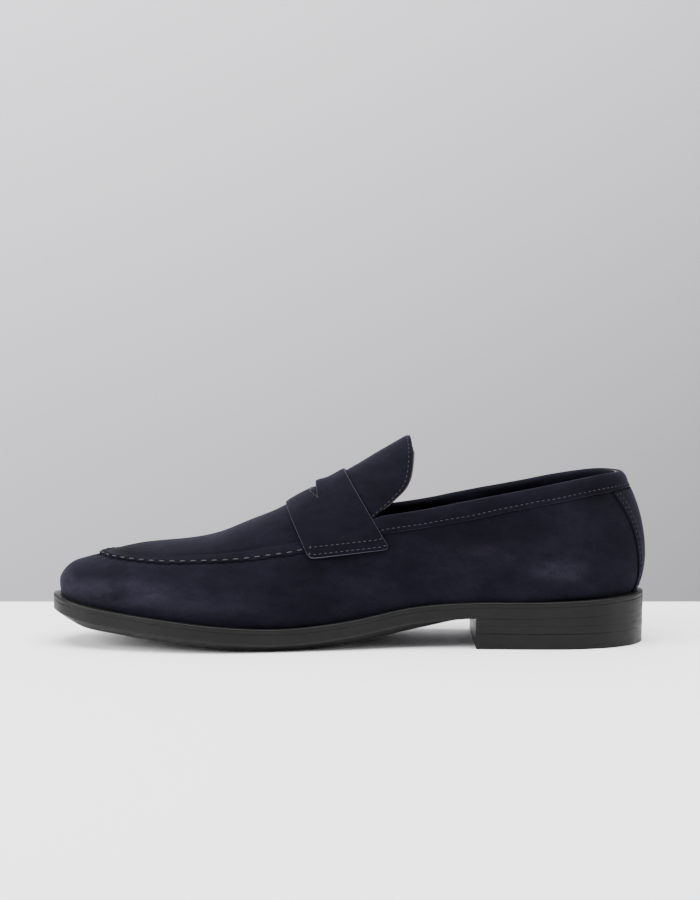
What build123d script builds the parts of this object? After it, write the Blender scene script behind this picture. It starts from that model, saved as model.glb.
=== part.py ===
from build123d import *
import math
import os

# Penny loafer for the right foot: toe towards -X, inner (medial) side towards -Y, +Z up.
# The origin is the centre of the shoe's outline, on the ground. The upper is a stack of thin layers
# on one shoe-shaped form: suede outside, then the stiffeners, then the lining.

# ---- overall sizes (millimetres)
overall_length = 301.4      # from the toe tip of the sole to the back of the heel
ball_width = 102.0          # outsole, across the ball of the foot
waist_width = 66.0          # outsole, in front of the heel
heel_width = 66.5           # outsole, across the heel
seat_height = 23.5          # top of the sole above the ground, under the heel
toe_spring = 26.4           # top of the sole above the ground, at the toe tip
ball_height = 11.6          # top of the sole above the ground, at the ball
toe_box_height = 51.6       # top of the apron above the ground, over the toes
instep_height = 85.7        # ridge under the back of the strap
tongue_height = 103.4       # tip of the tongue
collar_height = 86.6        # top edge of the quarter at the heel
throat_height = 64.6        # top edge of the quarter where it meets the tongue

# ---- the centre line bends inwards towards the toe
toe_y = -10.0
waist_y = -2.4
heel_y = -4.5

# ---- layers of the upper
suede = 1.4
stiffener = 0.6             # puff, counter, tape and backing cloth
lining = 1.0
binding = 1.1               # collar band and backstay
strap_thickness = 1.6
lasting_margin = 14.0       # how far the layers are turned in under the insole

# ---- what lies under the foot
insole_thickness = 2.5
foam_thickness = 2.0
sock_thickness = 1.2
shank_length = 105.0
shank_width = 13.0
shank_thickness = 1.6
shank_over_heel = 25.0      # how far it reaches back over the heel

# ---- sole unit
welt_ledge = 2.8            # how far the sole stands out past the upper
welt_thickness = 2.5
sole_edge = 8.0             # welt and outsole together, at the edge
tread_drop = 3.7            # the middle of the tread lies this much below its edge
tread_bevel = 6.0           # width of the sloping strip along the tread's edge
tread_fade_start = 24.0     # the drop of the tread fades out between these two distances
tread_fade_end = 4.0        # ahead of the heel
cup = 3.0                   # how deep the upper sits in the sole
heel_overhang = 1.2         # how far the back of the upper stands out past the sole
heel_length = 86.7
lift_thickness = 4.0
top_piece_thickness = 8.0
heel_step = 0.35            # each layer of the heel is this much smaller all round
rim_radius = 1.5            # lower edge of the top piece
nail_radius = 1.2
nail_length = 15.0
nail_head_radius = 3.0
nail_head_thickness = 0.8
nail_sink = 0.2             # the heads lie this much below the insole's top
nail_circle = 11.0          # how far the nails stand from the middle of the heel

# ---- strap, collar and backstay
strap_width_low = 40.5
strap_width_top = 34.0
strap_low_front = (-21.3, 46.9)     # its lower front corner, in side view
strap_low_slope = 6.4
strap_top_front = (-33.0, 72.0)     # where its front edge reaches the ridge
strap_top_slope = 30.4
slot_length = 30.0
slot_width = 5.6
slot_reach = 12.0           # the slot is cut this far up and down from the ridge
strap_corner = 2.5
collar_band = 8.5
tape_width = 7.0
backstay_width_top = 38.0
backstay_width_low = 20.0
backstay_gap = 0.2          # between its lower end and the sole

# ---- where the layers change along the length
puff_end = -100.0
vamp_end = 0.0
throat_x = 11.2
tongue_tip_x = 30.0
counter_start = 85.0
grip_start = 105.0

# ---- derived
toe_x = -overall_length / 2
back_x = overall_length / 2
sole_back_x = back_x - heel_overhang
upper_toe_x = toe_x + welt_ledge
upper_back_x = back_x - binding
seat_back_x = sole_back_x - welt_ledge
upper_stack = suede + stiffener + lining
heel_breast_x = sole_back_x - heel_length
heel_middle_x = sole_back_x - heel_width / 2
far = 400.0                 # longer than anything here
clear = 40.0                # higher above the throat than any top line
past = 20.0                 # how far cutting regions run past the shoe's ends


def smooth(x, points):
    """Reads a smooth curve through (x, value) points that never swings past them."""
    xs = [point[0] for point in points]
    values = [point[1] for point in points]
    if x <= xs[0]:
        return values[0]
    if x >= xs[-1]:
        return values[-1]
    steps = [b - a for a, b in zip(xs, xs[1:])]
    slopes = [(b - a) / step for a, b, step in zip(values, values[1:], steps)]
    bends = [slopes[0]]
    for before, after, near, next_step in zip(slopes, slopes[1:], steps, steps[1:]):
        if before * after <= 0:
            bends.append(0.0)
        else:
            weight = (near + 2 * next_step) / (3 * (near + next_step))
            bends.append(before * after / (weight * after + (1 - weight) * before))
    bends.append(slopes[-1])
    i = max(k for k in range(len(steps)) if xs[k] <= x)
    t = (x - xs[i]) / steps[i]
    change = values[i + 1] - values[i]
    leaving, arriving = bends[i] * steps[i], bends[i + 1] * steps[i]
    square = 3 * change - 2 * leaving - arriving
    cube = leaving + arriving - 2 * change
    return values[i] + t * (leaving + t * (square + t * cube))


def turn(share):
    """Share of a half turn: even steps of it crowd towards both ends of a length."""
    return math.acos(1 - 2 * min(1.0, max(0.0, share))) / math.pi


def round_ended(share, points):
    """Reads a curve whose two ends are rounded, from (share of the length, value) points."""
    return smooth(turn(share), [(turn(s), value) for s, value in points])


def sole_share(x):
    return (x - toe_x) / (sole_back_x - toe_x)


def outline_y(x, inset, outer):
    """Edge of the sole at x, drawn in by inset, on the outer (True) or the inner side."""
    ball = ball_width / 2 - inset
    waist = waist_width / 2 - inset
    heel = heel_width / 2 - inset
    share = (x - toe_x - inset) / (sole_back_x - toe_x - 2 * inset)
    if outer:
        return round_ended(share, [
            (0.0, toe_y), (0.019, toe_y + 0.32 * ball), (0.052, toe_y + 0.55 * ball), (0.125, 0.72 * ball),
            (0.21, 0.93 * ball), (0.316, ball), (0.469, 0.84 * ball), (0.655, waist_y + waist),
            (0.842, heel_y + heel), (0.945, heel_y + 0.77 * heel), (0.982, heel_y + 0.46 * heel), (1.0, heel_y)])
    return round_ended(share, [
        (0.0, toe_y), (0.019, toe_y - 0.30 * ball), (0.052, toe_y - 0.47 * ball), (0.125, -0.83 * ball),
        (0.20, -0.955 * ball), (0.282, -ball), (0.469, -0.84 * ball), (0.655, waist_y - waist),
        (0.842, heel_y - heel), (0.945, heel_y - 0.77 * heel), (0.982, heel_y - 0.46 * heel), (1.0, heel_y)])


def sole_top_z(x):
    """Top of the sole in side view."""
    return smooth(sole_share(x), [
        (-0.02, toe_spring + 0.9), (0.065, toe_spring - 4.9), (0.175, ball_height + 5.4),
        (0.32, ball_height + 1.0), (0.42, ball_height), (0.523, ball_height + 4.5),
        (0.60, seat_height - 2.7), (0.69, seat_height - 0.3), (0.81, seat_height + 0.1),
        (0.90, seat_height + 0.9), (1.02, seat_height + 3.2)])


def top_line_z(x):
    """Top edge of the quarters in side view."""
    rise = smooth(sole_share(x), [(0.53, -0.01), (0.618, 0.164), (0.70, 0.382), (0.808, 0.668),
                                  (0.88, 0.864), (0.92, 0.955), (0.97, 1.0), (1.1, 1.0)])
    return throat_height + (collar_height - throat_height) * rise


def seam_half_width(x):
    """Half width of the apron in plan, measured from the ridge."""
    return smooth(sole_share(x), [(0.078, 0.0), (0.0889, 8.0), (0.1089, 15.0), (0.1422, 21.0), (0.1955, 26.5),
                                  (0.2688, 30.0), (0.3521, 31.5), (0.412, 31.0), (0.54, 27.5)])


# ---- the form that the upper is stretched over
toe_nose_z = toe_spring + 4.4
back_nose_z = seat_height + 21.5
cap_share = 0.0006          # the form ends in two small flats, this near its tips
form_sections = 14


def ridge_z(share):
    return round_ended(share, [
        (0.0, toe_nose_z), (0.0090, toe_nose_z + 7.1), (0.038, toe_nose_z + 12.8), (0.107, toe_box_height - 3.0),
        (0.178, toe_box_height), (0.249, toe_box_height + 2.0), (0.303, toe_box_height + 5.7),
        (0.387, instep_height - 15.8), (0.486, instep_height), (0.601, tongue_height),
        (0.71, tongue_height + 8.5), (0.83, tongue_height + 7.0), (0.91, tongue_height - 3.5),
        (0.955, collar_height + 2.9), (0.983, collar_height - 14.6), (1.0, back_nose_z)])


def keel_z(share, x):
    plain = sole_top_z(x) - cup
    toe_down = round_ended(share, [(0.0, 0.0), (0.008, 0.55), (0.034, 0.93), (0.09, 1.0), (1.0, 1.0)])
    heel_down = round_ended(share, [(0.0, 1.0), (0.93, 1.0), (0.971, 0.95), (0.9905, 0.79),
                                    (0.9968, 0.42), (1.0, 0.0)])
    toe_lift = (toe_nose_z - plain) * (1 - toe_down)
    heel_lift = (back_nose_z - plain) * (1 - heel_down)
    return plain + toe_lift + heel_lift


def widest_z(share):
    return round_ended(share, [
        (0.0, toe_nose_z), (0.06, toe_nose_z - 2.0), (0.175, ball_height + 13.0), (0.32, ball_height + 9.0),
        (0.42, ball_height + 8.0), (0.52, ball_height + 12.4), (0.60, seat_height + 4.5),
        (0.70, seat_height + 7.5), (0.84, seat_height + 10.0), (0.93, seat_height + 13.5), (1.0, back_nose_z)])


# How full each quarter of a section is: (share of the length, handle length as a share of its side).
low_across = [(0.0, 0.56), (0.03, 0.86), (0.10, 1.15), (0.90, 1.15), (0.97, 0.86), (1.0, 0.56)]
low_up = [(0.0, 0.56), (0.10, 0.85), (0.90, 0.85), (1.0, 0.56)]
high_up = [(0.0, 0.56), (0.20, 0.56), (0.42, 0.50), (0.56, 0.58), (0.70, 0.70), (0.90, 0.68), (1.0, 0.56)]
high_across = [(0.0, 0.56), (0.20, 0.50), (0.42, 0.55), (0.56, 0.60), (0.70, 0.70), (0.90, 0.68), (1.0, 0.56)]


def form_sides(share):
    """Centre line and the inner and outer sides of the form at a share of its length."""
    x = upper_toe_x + share * (upper_back_x - upper_toe_x)
    # the back of the heel bulges past the line where it leaves the sole
    rear = max(0.0, (share - 0.86) / 0.14)
    plan_x = x - (upper_back_x - seat_back_x) * rear**2
    centre = smooth(share, [(0.0, toe_y), (0.3, -6.5), (0.6, -5.0), (1.0, heel_y)])
    return centre, outline_y(plan_x, welt_ledge, False), outline_y(plan_x, welt_ledge, True)


def form_row(share, grow):
    """Twelve points that shape one cross-section: four cubic curves, from the keel round the inner side."""
    x = upper_toe_x + share * (upper_back_x - upper_toe_x)
    half = 0.5 - abs(share - 0.5)
    sideways = math.sqrt(min(1.0, half / 0.045))
    lengthways = math.sqrt(1 - sideways**2)
    centre, inner_side, outer_side = form_sides(share)
    inner, outer = inner_side - grow * sideways, outer_side + grow * sideways
    low = keel_z(share, x) - grow * sideways
    high = ridge_z(share) + grow * sideways
    wide = widest_z(share)
    a, b, c, d = (smooth(share, fullness) for fullness in (low_across, low_up, high_up, high_across))
    x += grow * lengthways * (1 if share > 0.5 else -1)
    below, above = b * (wide - low), c * (high - wide)
    points = [
        (centre, low), (centre + a * (inner - centre), low), (inner, wide - below),
        (inner, wide), (inner, wide + above), (centre + d * (inner - centre), high),
        (centre, high), (centre + d * (outer - centre), high), (outer, wide + above),
        (outer, wide), (outer, wide - below), (centre + a * (outer - centre), low)]
    return [Vector(x, y, z) for y, z in points]


def skinned(rows, degree):
    """A closed solid through cross-sections, each a ring of curves of one degree, smooth lengthways."""
    count = len(rows[0])
    station = [0.0]
    for near, next_row in zip(rows, rows[1:]):
        station.append(station[-1] + sum((b - a).length for a, b in zip(near, next_row)) / count)

    def slope(k, j):
        i = max(0, min(k - 1, len(rows) - 3))
        first, second = station[i + 1] - station[i], station[i + 2] - station[i + 1]
        before = (rows[i + 1][j] - rows[i][j]) / first
        after = (rows[i + 2][j] - rows[i + 1][j]) / second
        middle = (before * second + after * first) / (first + second)
        if k == i:
            return before * 2 - middle
        if k == i + 1:
            return middle
        return after * 2 - middle

    faces = []
    for k in range(len(rows) - 1):
        third = (station[k + 1] - station[k]) / 3
        for start in range(0, count, degree):
            grid = []
            for j in (n % count for n in range(start, start + degree + 1)):
                a, b = rows[k][j], rows[k + 1][j]
                grid.append([a, a + slope(k, j) * third, b - slope(k + 1, j) * third, b])
            faces.append(Face.make_bezier_surface(grid))
    for row in (rows[0], rows[-1]):
        corners = [[row[n % count] for n in range(s, s + degree + 1)] for s in range(0, count, degree)]
        faces.append(Face(Wire([Edge.make_bezier(*c) if degree > 1 else Edge.make_line(*c) for c in corners])))
    return Solid(Shell(faces))


def spread(count, end_share):
    """Shares of a length that crowd towards both ends."""
    first = turn(end_share)
    return [(1 - math.cos(math.pi * (first + i * (1 - 2 * first) / (count - 1)))) / 2 for i in range(count)]


def form(grow):
    """The shoe-shaped form, grown outwards by grow on every side (inwards if negative)."""
    return skinned([form_row(share, grow) for share in spread(form_sections, cap_share)], 3)


def sole_slab(from_top, to_bottom, bevelled):
    """A slab that follows the sole's outline and side view, between two depths below its top."""
    rows = []
    for share in spread(form_sections + 1, cap_share):
        x = toe_x + share * (sole_back_x - toe_x)
        inner, outer = outline_y(x, 0.0, False), outline_y(x, 0.0, True)
        top = sole_top_z(x) - from_top
        bottom = sole_top_z(x) - to_bottom
        row = [Vector(x, outer, top), Vector(x, inner, top), Vector(x, inner, bottom)]
        if bevelled:
            to_tip = min(1.0, (x - toe_x) / (2 * tread_bevel))
            to_heel = smooth(x, [(heel_breast_x - tread_fade_start, 1.0), (heel_breast_x - tread_fade_end, 0.0)])
            drop = tread_drop * to_tip * to_heel
            width = min(tread_bevel, 0.3 * (outer - inner))
            row += [Vector(x, inner + width, bottom - drop), Vector(x, outer - width, bottom - drop)]
        row.append(Vector(x, outer, bottom))
        rows.append(row)
    return skinned(rows, 1)


# ---- regions, used to cut the layers
def side_region(points, smooth_count):
    """A slab across the whole shoe: its outline in side view is a curve, then straight lines."""
    with BuildPart() as region:
        with BuildSketch(Plane.XZ):
            with BuildLine():
                curve = Spline(points[:smooth_count])
                Polyline(curve @ 1, *points[smooth_count:], curve @ 0)
            make_face()
        extrude(amount=far, both=True)
    return region.part


def steps_between(start, end, count):
    return [start + i * (end - start) / (count - 1) for i in range(count)]


def under_keel(height):
    """Everything under a line that runs this far above the underside of the form."""
    xs = steps_between(upper_toe_x + 6.0, upper_back_x - 4.0, 24)
    line = [(x, sole_top_z(x) - cup + height) for x in xs]
    return side_region([*line, (back_x + past, line[-1][1]), (back_x + past, -far), (toe_x - past, -far),
                        (toe_x - past, line[0][1])], len(line))


def above_top_line(lift):
    xs = steps_between(throat_x, back_x + 12, 16)
    line = [(x, top_line_z(x) + lift) for x in xs]
    return side_region([*line, (back_x + 12, far), (throat_x, far)], len(line))


def outline_region(inset, low, high, front=toe_x):
    """The sole's outline drawn in by inset, from one height to another."""
    with BuildPart() as region:
        with BuildSketch(Plane.XY.offset(low)):
            with BuildLine():
                xs = [toe_x + inset + s * (sole_back_x - toe_x - 2 * inset) for s in spread(30, 0.0)]
                ring = [(x, outline_y(x, inset, False)) for x in xs]
                ring += [(x, outline_y(x, inset, True)) for x in reversed(xs[1:-1])]
                Spline(ring, periodic=True)
            make_face()
        extrude(amount=high - low)
        if front > toe_x:
            split(bisect_by=Plane.YZ.offset(front), keep=Keep.TOP)
    return region.part


def apron_region():
    """Over the foot, inside the seam, then behind the throat everything up to the tongue's back edge."""
    seam_front = toe_x + 0.078 * (sole_back_x - toe_x)
    shares = [1 - math.cos(math.pi / 2 * s) for s in steps_between(0.0, 1.0, 13)]
    xs = [seam_front + s * (throat_x - seam_front) for s in shares]

    def seam_y(x, outer):
        share = (x - upper_toe_x) / (upper_back_x - upper_toe_x)
        centre, inner_side, outer_side = form_sides(share)
        half = seam_half_width(x)
        if outer:
            return centre + half * (outer_side - centre) / (centre - inner_side)
        return centre - half

    with BuildPart() as region:
        with BuildSketch(Plane.XY.offset(toe_nose_z + 1.0)):
            with BuildLine():
                ring = [(x, seam_y(x, False)) for x in reversed(xs)]
                ring += [(x, seam_y(x, True)) for x in xs[1:]]
                curve = Spline(ring)
                Polyline(curve @ 1, (throat_x, far), (tongue_tip_x + past, far), (tongue_tip_x + past, -far),
                         (throat_x, -far), curve @ 0)
            make_face()
        extrude(amount=far)
        add(tongue_side, mode=Mode.INTERSECT)
    return region.part


# ---- forms and regions shared by several pieces
outside = form(0.0)
under_suede = form(-suede)
under_stiffener = form(-suede - stiffener)
foot_space = form(-upper_stack)
strap_outside = form(strap_thickness)
binding_outside = form(binding)
band_inside = form(-upper_stack - binding)

tongue_side = side_region([
    (throat_x, top_line_z(throat_x)), (19.0, throat_height + 6.5), (25.0, throat_height + 11.5),
    (29.5, tongue_height - 21.7), (31.0, tongue_height - 14.7), (31.5, tongue_height - 7.2),
    (tongue_tip_x, tongue_height + 0.3), (tongue_tip_x - 6.0, far), (toe_x - past, far), (toe_x - past, 0.0),
    (throat_x, 0.0)], 7)
apron_space = apron_region()
over_collar = above_top_line(0.0)
seat_margin = under_keel(upper_stack + 2.0)
with BuildPart() as margin_opening:
    add(outline_region(welt_ledge + lasting_margin, -10.0, 60.0))
    add(seat_margin, mode=Mode.INTERSECT)
opening = margin_opening.part


def shell_of(outer, inner):
    with BuildPart() as shell:
        add(outer)
        add(inner, mode=Mode.SUBTRACT)
    return shell.part


def wall_of(shell):
    """The sides of one layer: below the top line, outside the apron, with the middle of the bottom open."""
    with BuildPart() as wall:
        add(shell)
        add(over_collar, mode=Mode.SUBTRACT)
        add(opening, mode=Mode.SUBTRACT)
        add(apron_space, mode=Mode.SUBTRACT)
        split(bisect_by=Plane.XY.offset(top_line_z(throat_x) + clear), keep=Keep.BOTTOM)
    return wall.part


suede_shell = shell_of(outside, under_suede)
stiff_shell = shell_of(under_suede, under_stiffener)
lining_shell = shell_of(under_stiffener, foot_space)


def ahead_of(x):
    split(bisect_by=Plane.YZ.offset(x), keep=Keep.BOTTOM)


def behind(x):
    split(bisect_by=Plane.YZ.offset(x), keep=Keep.TOP)


os.makedirs("parts", exist_ok=True)

# ================ sole unit ================
with BuildPart() as heel_nails:
    for angle in (0, 72, 144, 216, 288):
        x = heel_middle_x + nail_circle * math.cos(math.radians(angle))
        y = heel_y + nail_circle * math.sin(math.radians(angle))
        head_top = sole_top_z(x) - cup + upper_stack + insole_thickness - nail_sink
        with BuildSketch(Plane.XY.offset(head_top - nail_head_thickness)):
            with Locations((x, y)):
                Circle(nail_head_radius)
        extrude(amount=nail_head_thickness)
        with BuildSketch(Plane.XY.offset(head_top - nail_head_thickness)):
            with Locations((x, y)):
                Circle(nail_radius)
        extrude(amount=-nail_length)

whole_outsole = sole_slab(welt_thickness, sole_edge, True)

with BuildPart() as outsole:
    add(whole_outsole)
    split(bisect_by=Plane.XY, keep=Keep.TOP)
    add(outside, mode=Mode.SUBTRACT)
    add(heel_nails.part, mode=Mode.SUBTRACT)

with BuildPart() as welt:
    add(sole_slab(0.0, welt_thickness, False))
    add(outside, mode=Mode.SUBTRACT)

lift_bottom = top_piece_thickness + lift_thickness
with BuildPart() as heel_lift_upper:
    add(outline_region(heel_step, lift_bottom, seat_height, heel_breast_x))
    add(whole_outsole, mode=Mode.SUBTRACT)
    split(bisect_by=Plane.XY.offset(seat_height - sole_edge + 1.0 + lift_thickness), keep=Keep.BOTTOM)
    add(heel_nails.part, mode=Mode.SUBTRACT)

with BuildPart() as heel_lift_lower:
    add(outline_region(2 * heel_step, top_piece_thickness, lift_bottom, heel_breast_x))
    add(heel_nails.part, mode=Mode.SUBTRACT)

with BuildPart() as heel_top_piece:
    add(outline_region(3 * heel_step, 0.0, top_piece_thickness, heel_breast_x))
    rim = heel_top_piece.faces().sort_by(Axis.Z)[0].edges().filter_by(GeomType.BSPLINE)
    fillet(rim, radius=rim_radius)

# ================ under the foot ================
shank_underside = form(shank_thickness - upper_stack)
shank_middle_x = heel_breast_x + shank_over_heel - shank_length / 2

with BuildPart() as shank:
    with BuildSketch(Plane.XY):
        with Locations((shank_middle_x, heel_y)):
            RectangleRounded(shank_length, shank_width, 0.45 * shank_width)
    extrude(amount=seat_height)
    add(shank_underside, mode=Mode.INTERSECT)
    add(foot_space, mode=Mode.SUBTRACT)

with BuildPart() as bottom_filler:
    add(outside)
    add(foot_space, mode=Mode.SUBTRACT)
    add(opening, mode=Mode.INTERSECT)
    add(shank.part, mode=Mode.SUBTRACT)
    add(heel_nails.part, mode=Mode.SUBTRACT)

under_insole_top = under_keel(upper_stack + insole_thickness)
under_foam_top = under_keel(upper_stack + insole_thickness + foam_thickness)
under_sock_top = under_keel(upper_stack + insole_thickness + foam_thickness + sock_thickness)

with BuildPart() as insole_board:
    add(foot_space)
    add(under_insole_top, mode=Mode.INTERSECT)
    add(heel_nails.part, mode=Mode.SUBTRACT)

with BuildPart() as sock_foam:
    add(foot_space)
    add(under_foam_top, mode=Mode.INTERSECT)
    add(under_insole_top, mode=Mode.SUBTRACT)

with BuildPart() as sock_liner:
    add(foot_space)
    add(under_sock_top, mode=Mode.INTERSECT)
    add(under_foam_top, mode=Mode.SUBTRACT)

# ================ suede ================
with BuildPart() as apron:
    add(suede_shell)
    add(apron_space, mode=Mode.INTERSECT)

skirt = wall_of(suede_shell)


def continued(start, through, extra):
    """The point this far past the second of two points."""
    step = Vector(*through) - Vector(*start)
    end = Vector(*through) + step.normalized() * extra
    return (end.X, end.Y)


def sloped(start, length, slope):
    return (start[0] + length * math.cos(math.radians(slope)), start[1] + length * math.sin(math.radians(slope)))


strap_low_back = sloped(strap_low_front, strap_width_low, strap_low_slope)
strap_top_back = sloped(strap_top_front, strap_width_top, strap_top_slope)
with BuildPart() as strap_region:
    with BuildSketch(Plane.XZ):
        with BuildLine():
            Polyline(continued(strap_low_front, strap_top_front, past), strap_low_front, strap_low_back,
                     continued(strap_low_back, strap_top_back, past), close=True)
        make_face()
        fillet(vertices().sort_by(Axis.Y)[:2], radius=strap_corner)
    extrude(amount=far, both=True)

slot_middle_x = (strap_top_front[0] + strap_top_back[0]) / 2
slot_share = (slot_middle_x - upper_toe_x) / (upper_back_x - upper_toe_x)
slot_middle = (slot_middle_x, form_sides(slot_share)[0], ridge_z(slot_share))
slot_plane = Plane(slot_middle, x_dir=(0, 1, 0), z_dir=(-math.sin(math.radians(strap_top_slope)), 0,
                                                        math.cos(math.radians(strap_top_slope))))

with BuildPart() as strap:
    add(strap_outside)
    add(outside, mode=Mode.SUBTRACT)
    add(strap_region.part, mode=Mode.INTERSECT)
    with BuildSketch(slot_plane):
        with BuildLine():
            half = slot_length / 2
            ThreePointArc((-half, 0), (0, slot_width / 2), (half, 0))
            ThreePointArc((half, 0), (0, -slot_width / 2), (-half, 0))
        make_face()
    extrude(amount=slot_reach, both=True, mode=Mode.SUBTRACT)

with BuildPart() as upper_under_collar:
    add(outside)
    add(foot_space, mode=Mode.SUBTRACT)
    add(over_collar, mode=Mode.SUBTRACT)

under_band = above_top_line(-collar_band)

with BuildPart() as band:
    add(binding_outside)
    add(band_inside, mode=Mode.SUBTRACT)
    add(under_band, mode=Mode.INTERSECT)
    add(above_top_line(binding), mode=Mode.SUBTRACT)
    add(upper_under_collar.part, mode=Mode.SUBTRACT)
    add(strap_region.part, mode=Mode.SUBTRACT)
    add(apron_space, mode=Mode.SUBTRACT)

with BuildPart() as backstay:
    with BuildSketch(Plane.YZ.offset(counter_start)):
        with BuildLine():
            low, high = seat_height, collar_height + past
            near_low, near_high = backstay_width_low / 2, backstay_width_top / 2
            Polyline((heel_y - near_low, low), (heel_y - near_low * 1.25, 0.5 * (low + collar_height)),
                     (heel_y - near_high, high), (heel_y + near_high, high),
                     (heel_y + near_low * 1.25, 0.5 * (low + collar_height)), (heel_y + near_low, low), close=True)
        make_face()
    extrude(amount=far)
    add(binding_outside, mode=Mode.INTERSECT)
    add(outside, mode=Mode.SUBTRACT)
    add(under_band, mode=Mode.SUBTRACT)
    add(under_keel(cup + backstay_gap), mode=Mode.SUBTRACT)

# ================ stiffeners ================
with BuildPart() as toe_puff:
    add(stiff_shell)
    ahead_of(puff_end)
    add(opening, mode=Mode.SUBTRACT)

with BuildPart() as vamp_backer:
    add(stiff_shell)
    ahead_of(vamp_end)
    behind(puff_end)
    add(opening, mode=Mode.SUBTRACT)

with BuildPart() as tongue_interlining:
    add(stiff_shell)
    behind(vamp_end)
    add(apron_space, mode=Mode.INTERSECT)

stiff_wall = wall_of(stiff_shell)
tape_region = above_top_line(-tape_width)

with BuildPart() as topline_tape:
    add(stiff_wall)
    add(tape_region, mode=Mode.INTERSECT)

with BuildPart() as heel_counter:
    add(stiff_wall)
    behind(counter_start)
    add(tape_region, mode=Mode.SUBTRACT)

with BuildPart() as side_backers:
    add(stiff_wall)
    behind(vamp_end)
    ahead_of(counter_start)
    add(tape_region, mode=Mode.SUBTRACT)

# ================ linings ================
with BuildPart() as vamp_lining:
    add(lining_shell)
    ahead_of(vamp_end)
    add(opening, mode=Mode.SUBTRACT)

with BuildPart() as tongue_lining:
    add(lining_shell)
    behind(vamp_end)
    add(apron_space, mode=Mode.INTERSECT)

lining_wall = wall_of(lining_shell)

with BuildPart() as quarter_linings:
    add(lining_wall)
    behind(vamp_end)
    ahead_of(grip_start)

with BuildPart() as heel_grip:
    add(lining_wall)
    behind(grip_start)


def one_side(both_sides, keep):
    with BuildPart() as side:
        add(both_sides)
        split(bisect_by=Plane.XZ.offset(-heel_y), keep=keep)
    return side.part


pieces = {
    "outsole": outsole.part,
    "welt": welt.part,
    "heel_lift_upper": heel_lift_upper.part,
    "heel_lift_lower": heel_lift_lower.part,
    "heel_top_piece": heel_top_piece.part,
    "heel_nails": heel_nails.part,
    "shank": shank.part,
    "bottom_filler": bottom_filler.part,
    "insole_board": insole_board.part,
    "sock_foam": sock_foam.part,
    "sock_liner": sock_liner.part,
    "apron": apron.part,
    "skirt": skirt,
    "strap": strap.part,
    "collar_band": band.part,
    "backstay": backstay.part,
    "toe_puff": toe_puff.part,
    "vamp_backer": vamp_backer.part,
    "tongue_interlining": tongue_interlining.part,
    "topline_tape": topline_tape.part,
    "heel_counter": heel_counter.part,
    "side_backer_inner": one_side(side_backers.part, Keep.TOP),
    "side_backer_outer": one_side(side_backers.part, Keep.BOTTOM),
    "vamp_lining": vamp_lining.part,
    "tongue_lining": tongue_lining.part,
    "quarter_lining_inner": one_side(quarter_linings.part, Keep.TOP),
    "quarter_lining_outer": one_side(quarter_linings.part, Keep.BOTTOM),
    "heel_grip": heel_grip.part,
}
for name, piece in pieces.items():
    piece.label = name
    export_step(piece, f"parts/{name}.step")
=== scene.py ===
import math
import bmesh
import bpy
import numpy as np
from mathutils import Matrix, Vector
from mathutils.bvhtree import BVHTree


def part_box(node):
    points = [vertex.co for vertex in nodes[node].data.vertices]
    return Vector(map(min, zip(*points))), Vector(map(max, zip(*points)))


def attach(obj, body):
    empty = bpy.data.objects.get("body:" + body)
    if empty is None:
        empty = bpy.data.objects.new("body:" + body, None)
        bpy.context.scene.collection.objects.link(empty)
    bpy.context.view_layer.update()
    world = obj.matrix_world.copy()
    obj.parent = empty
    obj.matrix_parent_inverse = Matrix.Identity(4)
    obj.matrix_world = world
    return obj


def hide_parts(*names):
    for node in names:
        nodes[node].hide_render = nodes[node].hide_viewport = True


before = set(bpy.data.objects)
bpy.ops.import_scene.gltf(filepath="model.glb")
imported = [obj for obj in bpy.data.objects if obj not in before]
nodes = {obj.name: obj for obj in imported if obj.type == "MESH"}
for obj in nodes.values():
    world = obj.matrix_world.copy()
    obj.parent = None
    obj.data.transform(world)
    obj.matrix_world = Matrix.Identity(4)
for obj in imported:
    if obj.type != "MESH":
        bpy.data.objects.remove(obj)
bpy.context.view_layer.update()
mm = 0.001
up = np.array([0.0, 0.0, 1.0])

# The upper is measured on the CAD solids by rays, in upright half planes that stand along a spine
# and fan out round its two ends. A column is one such half plane, a row is one height on it.
spine = {"toeFan": 40 * mm, "heelFan": 31 * mm, "toeY": -8.4 * mm, "heelY": -4.5 * mm, "lift": 11 * mm,
         "sideStep": 1.3 * mm, "toeColumns": 120, "heelColumns": 96, "throatX": 11.2 * mm, "reach": 0.3}
# the suede's wall, how high the strap stands, the rounding of cut edges, and what counts as one point
layers = {"suede": 1.3 * mm, "strap": 1.7 * mm, "rounding": 0.3 * mm, "merge": 0.01 * mm}


def treeOf(*names):
    points, faces = [], []
    for name in names:
        mesh = nodes[name].data
        start = len(points)
        points += [v.co.copy() for v in mesh.vertices]
        faces += [[start + i for i in p.vertices] for p in mesh.polygons]
    return BVHTree.FromPolygons(points, faces)


trees = {name: treeOf(name) for name in ("apron", "skirt", "strap", "outsole", "welt", "backstay")}
trees["upper"] = treeOf("apron", "skirt")
trees["collarBandTop"] = treeOf("collar_band")


def hitFrom(tree, start, direction, distance):
    hit = trees[tree].ray_cast(Vector(start), Vector(direction), distance)[0]
    return None if hit is None else np.array(hit)


def dropOn(tree, x, y):
    # the top of a solid at a place seen from above
    return hitFrom(tree, (x, y, 0.2), -up, 0.2)


def lastTrue(test, low, high, times=22):
    # the border between where a test holds (low) and where it fails (high)
    for _ in range(times):
        middle = (low + high) / 2
        if test(middle):
            low = middle
        else:
            high = middle
    return low


skirtLow, skirtHigh = (np.array(corner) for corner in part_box("skirt"))
apronLow = np.array(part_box("apron")[0])
toeX = skirtLow[0] + spine["toeFan"]
heelX = skirtHigh[0] - spine["heelFan"]


def spineY(x):
    share = min(1.0, max(0.0, (x - toeX) / (heelX - toeX)))
    return spine["toeY"] + share * (spine["heelY"] - spine["toeY"])


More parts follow.
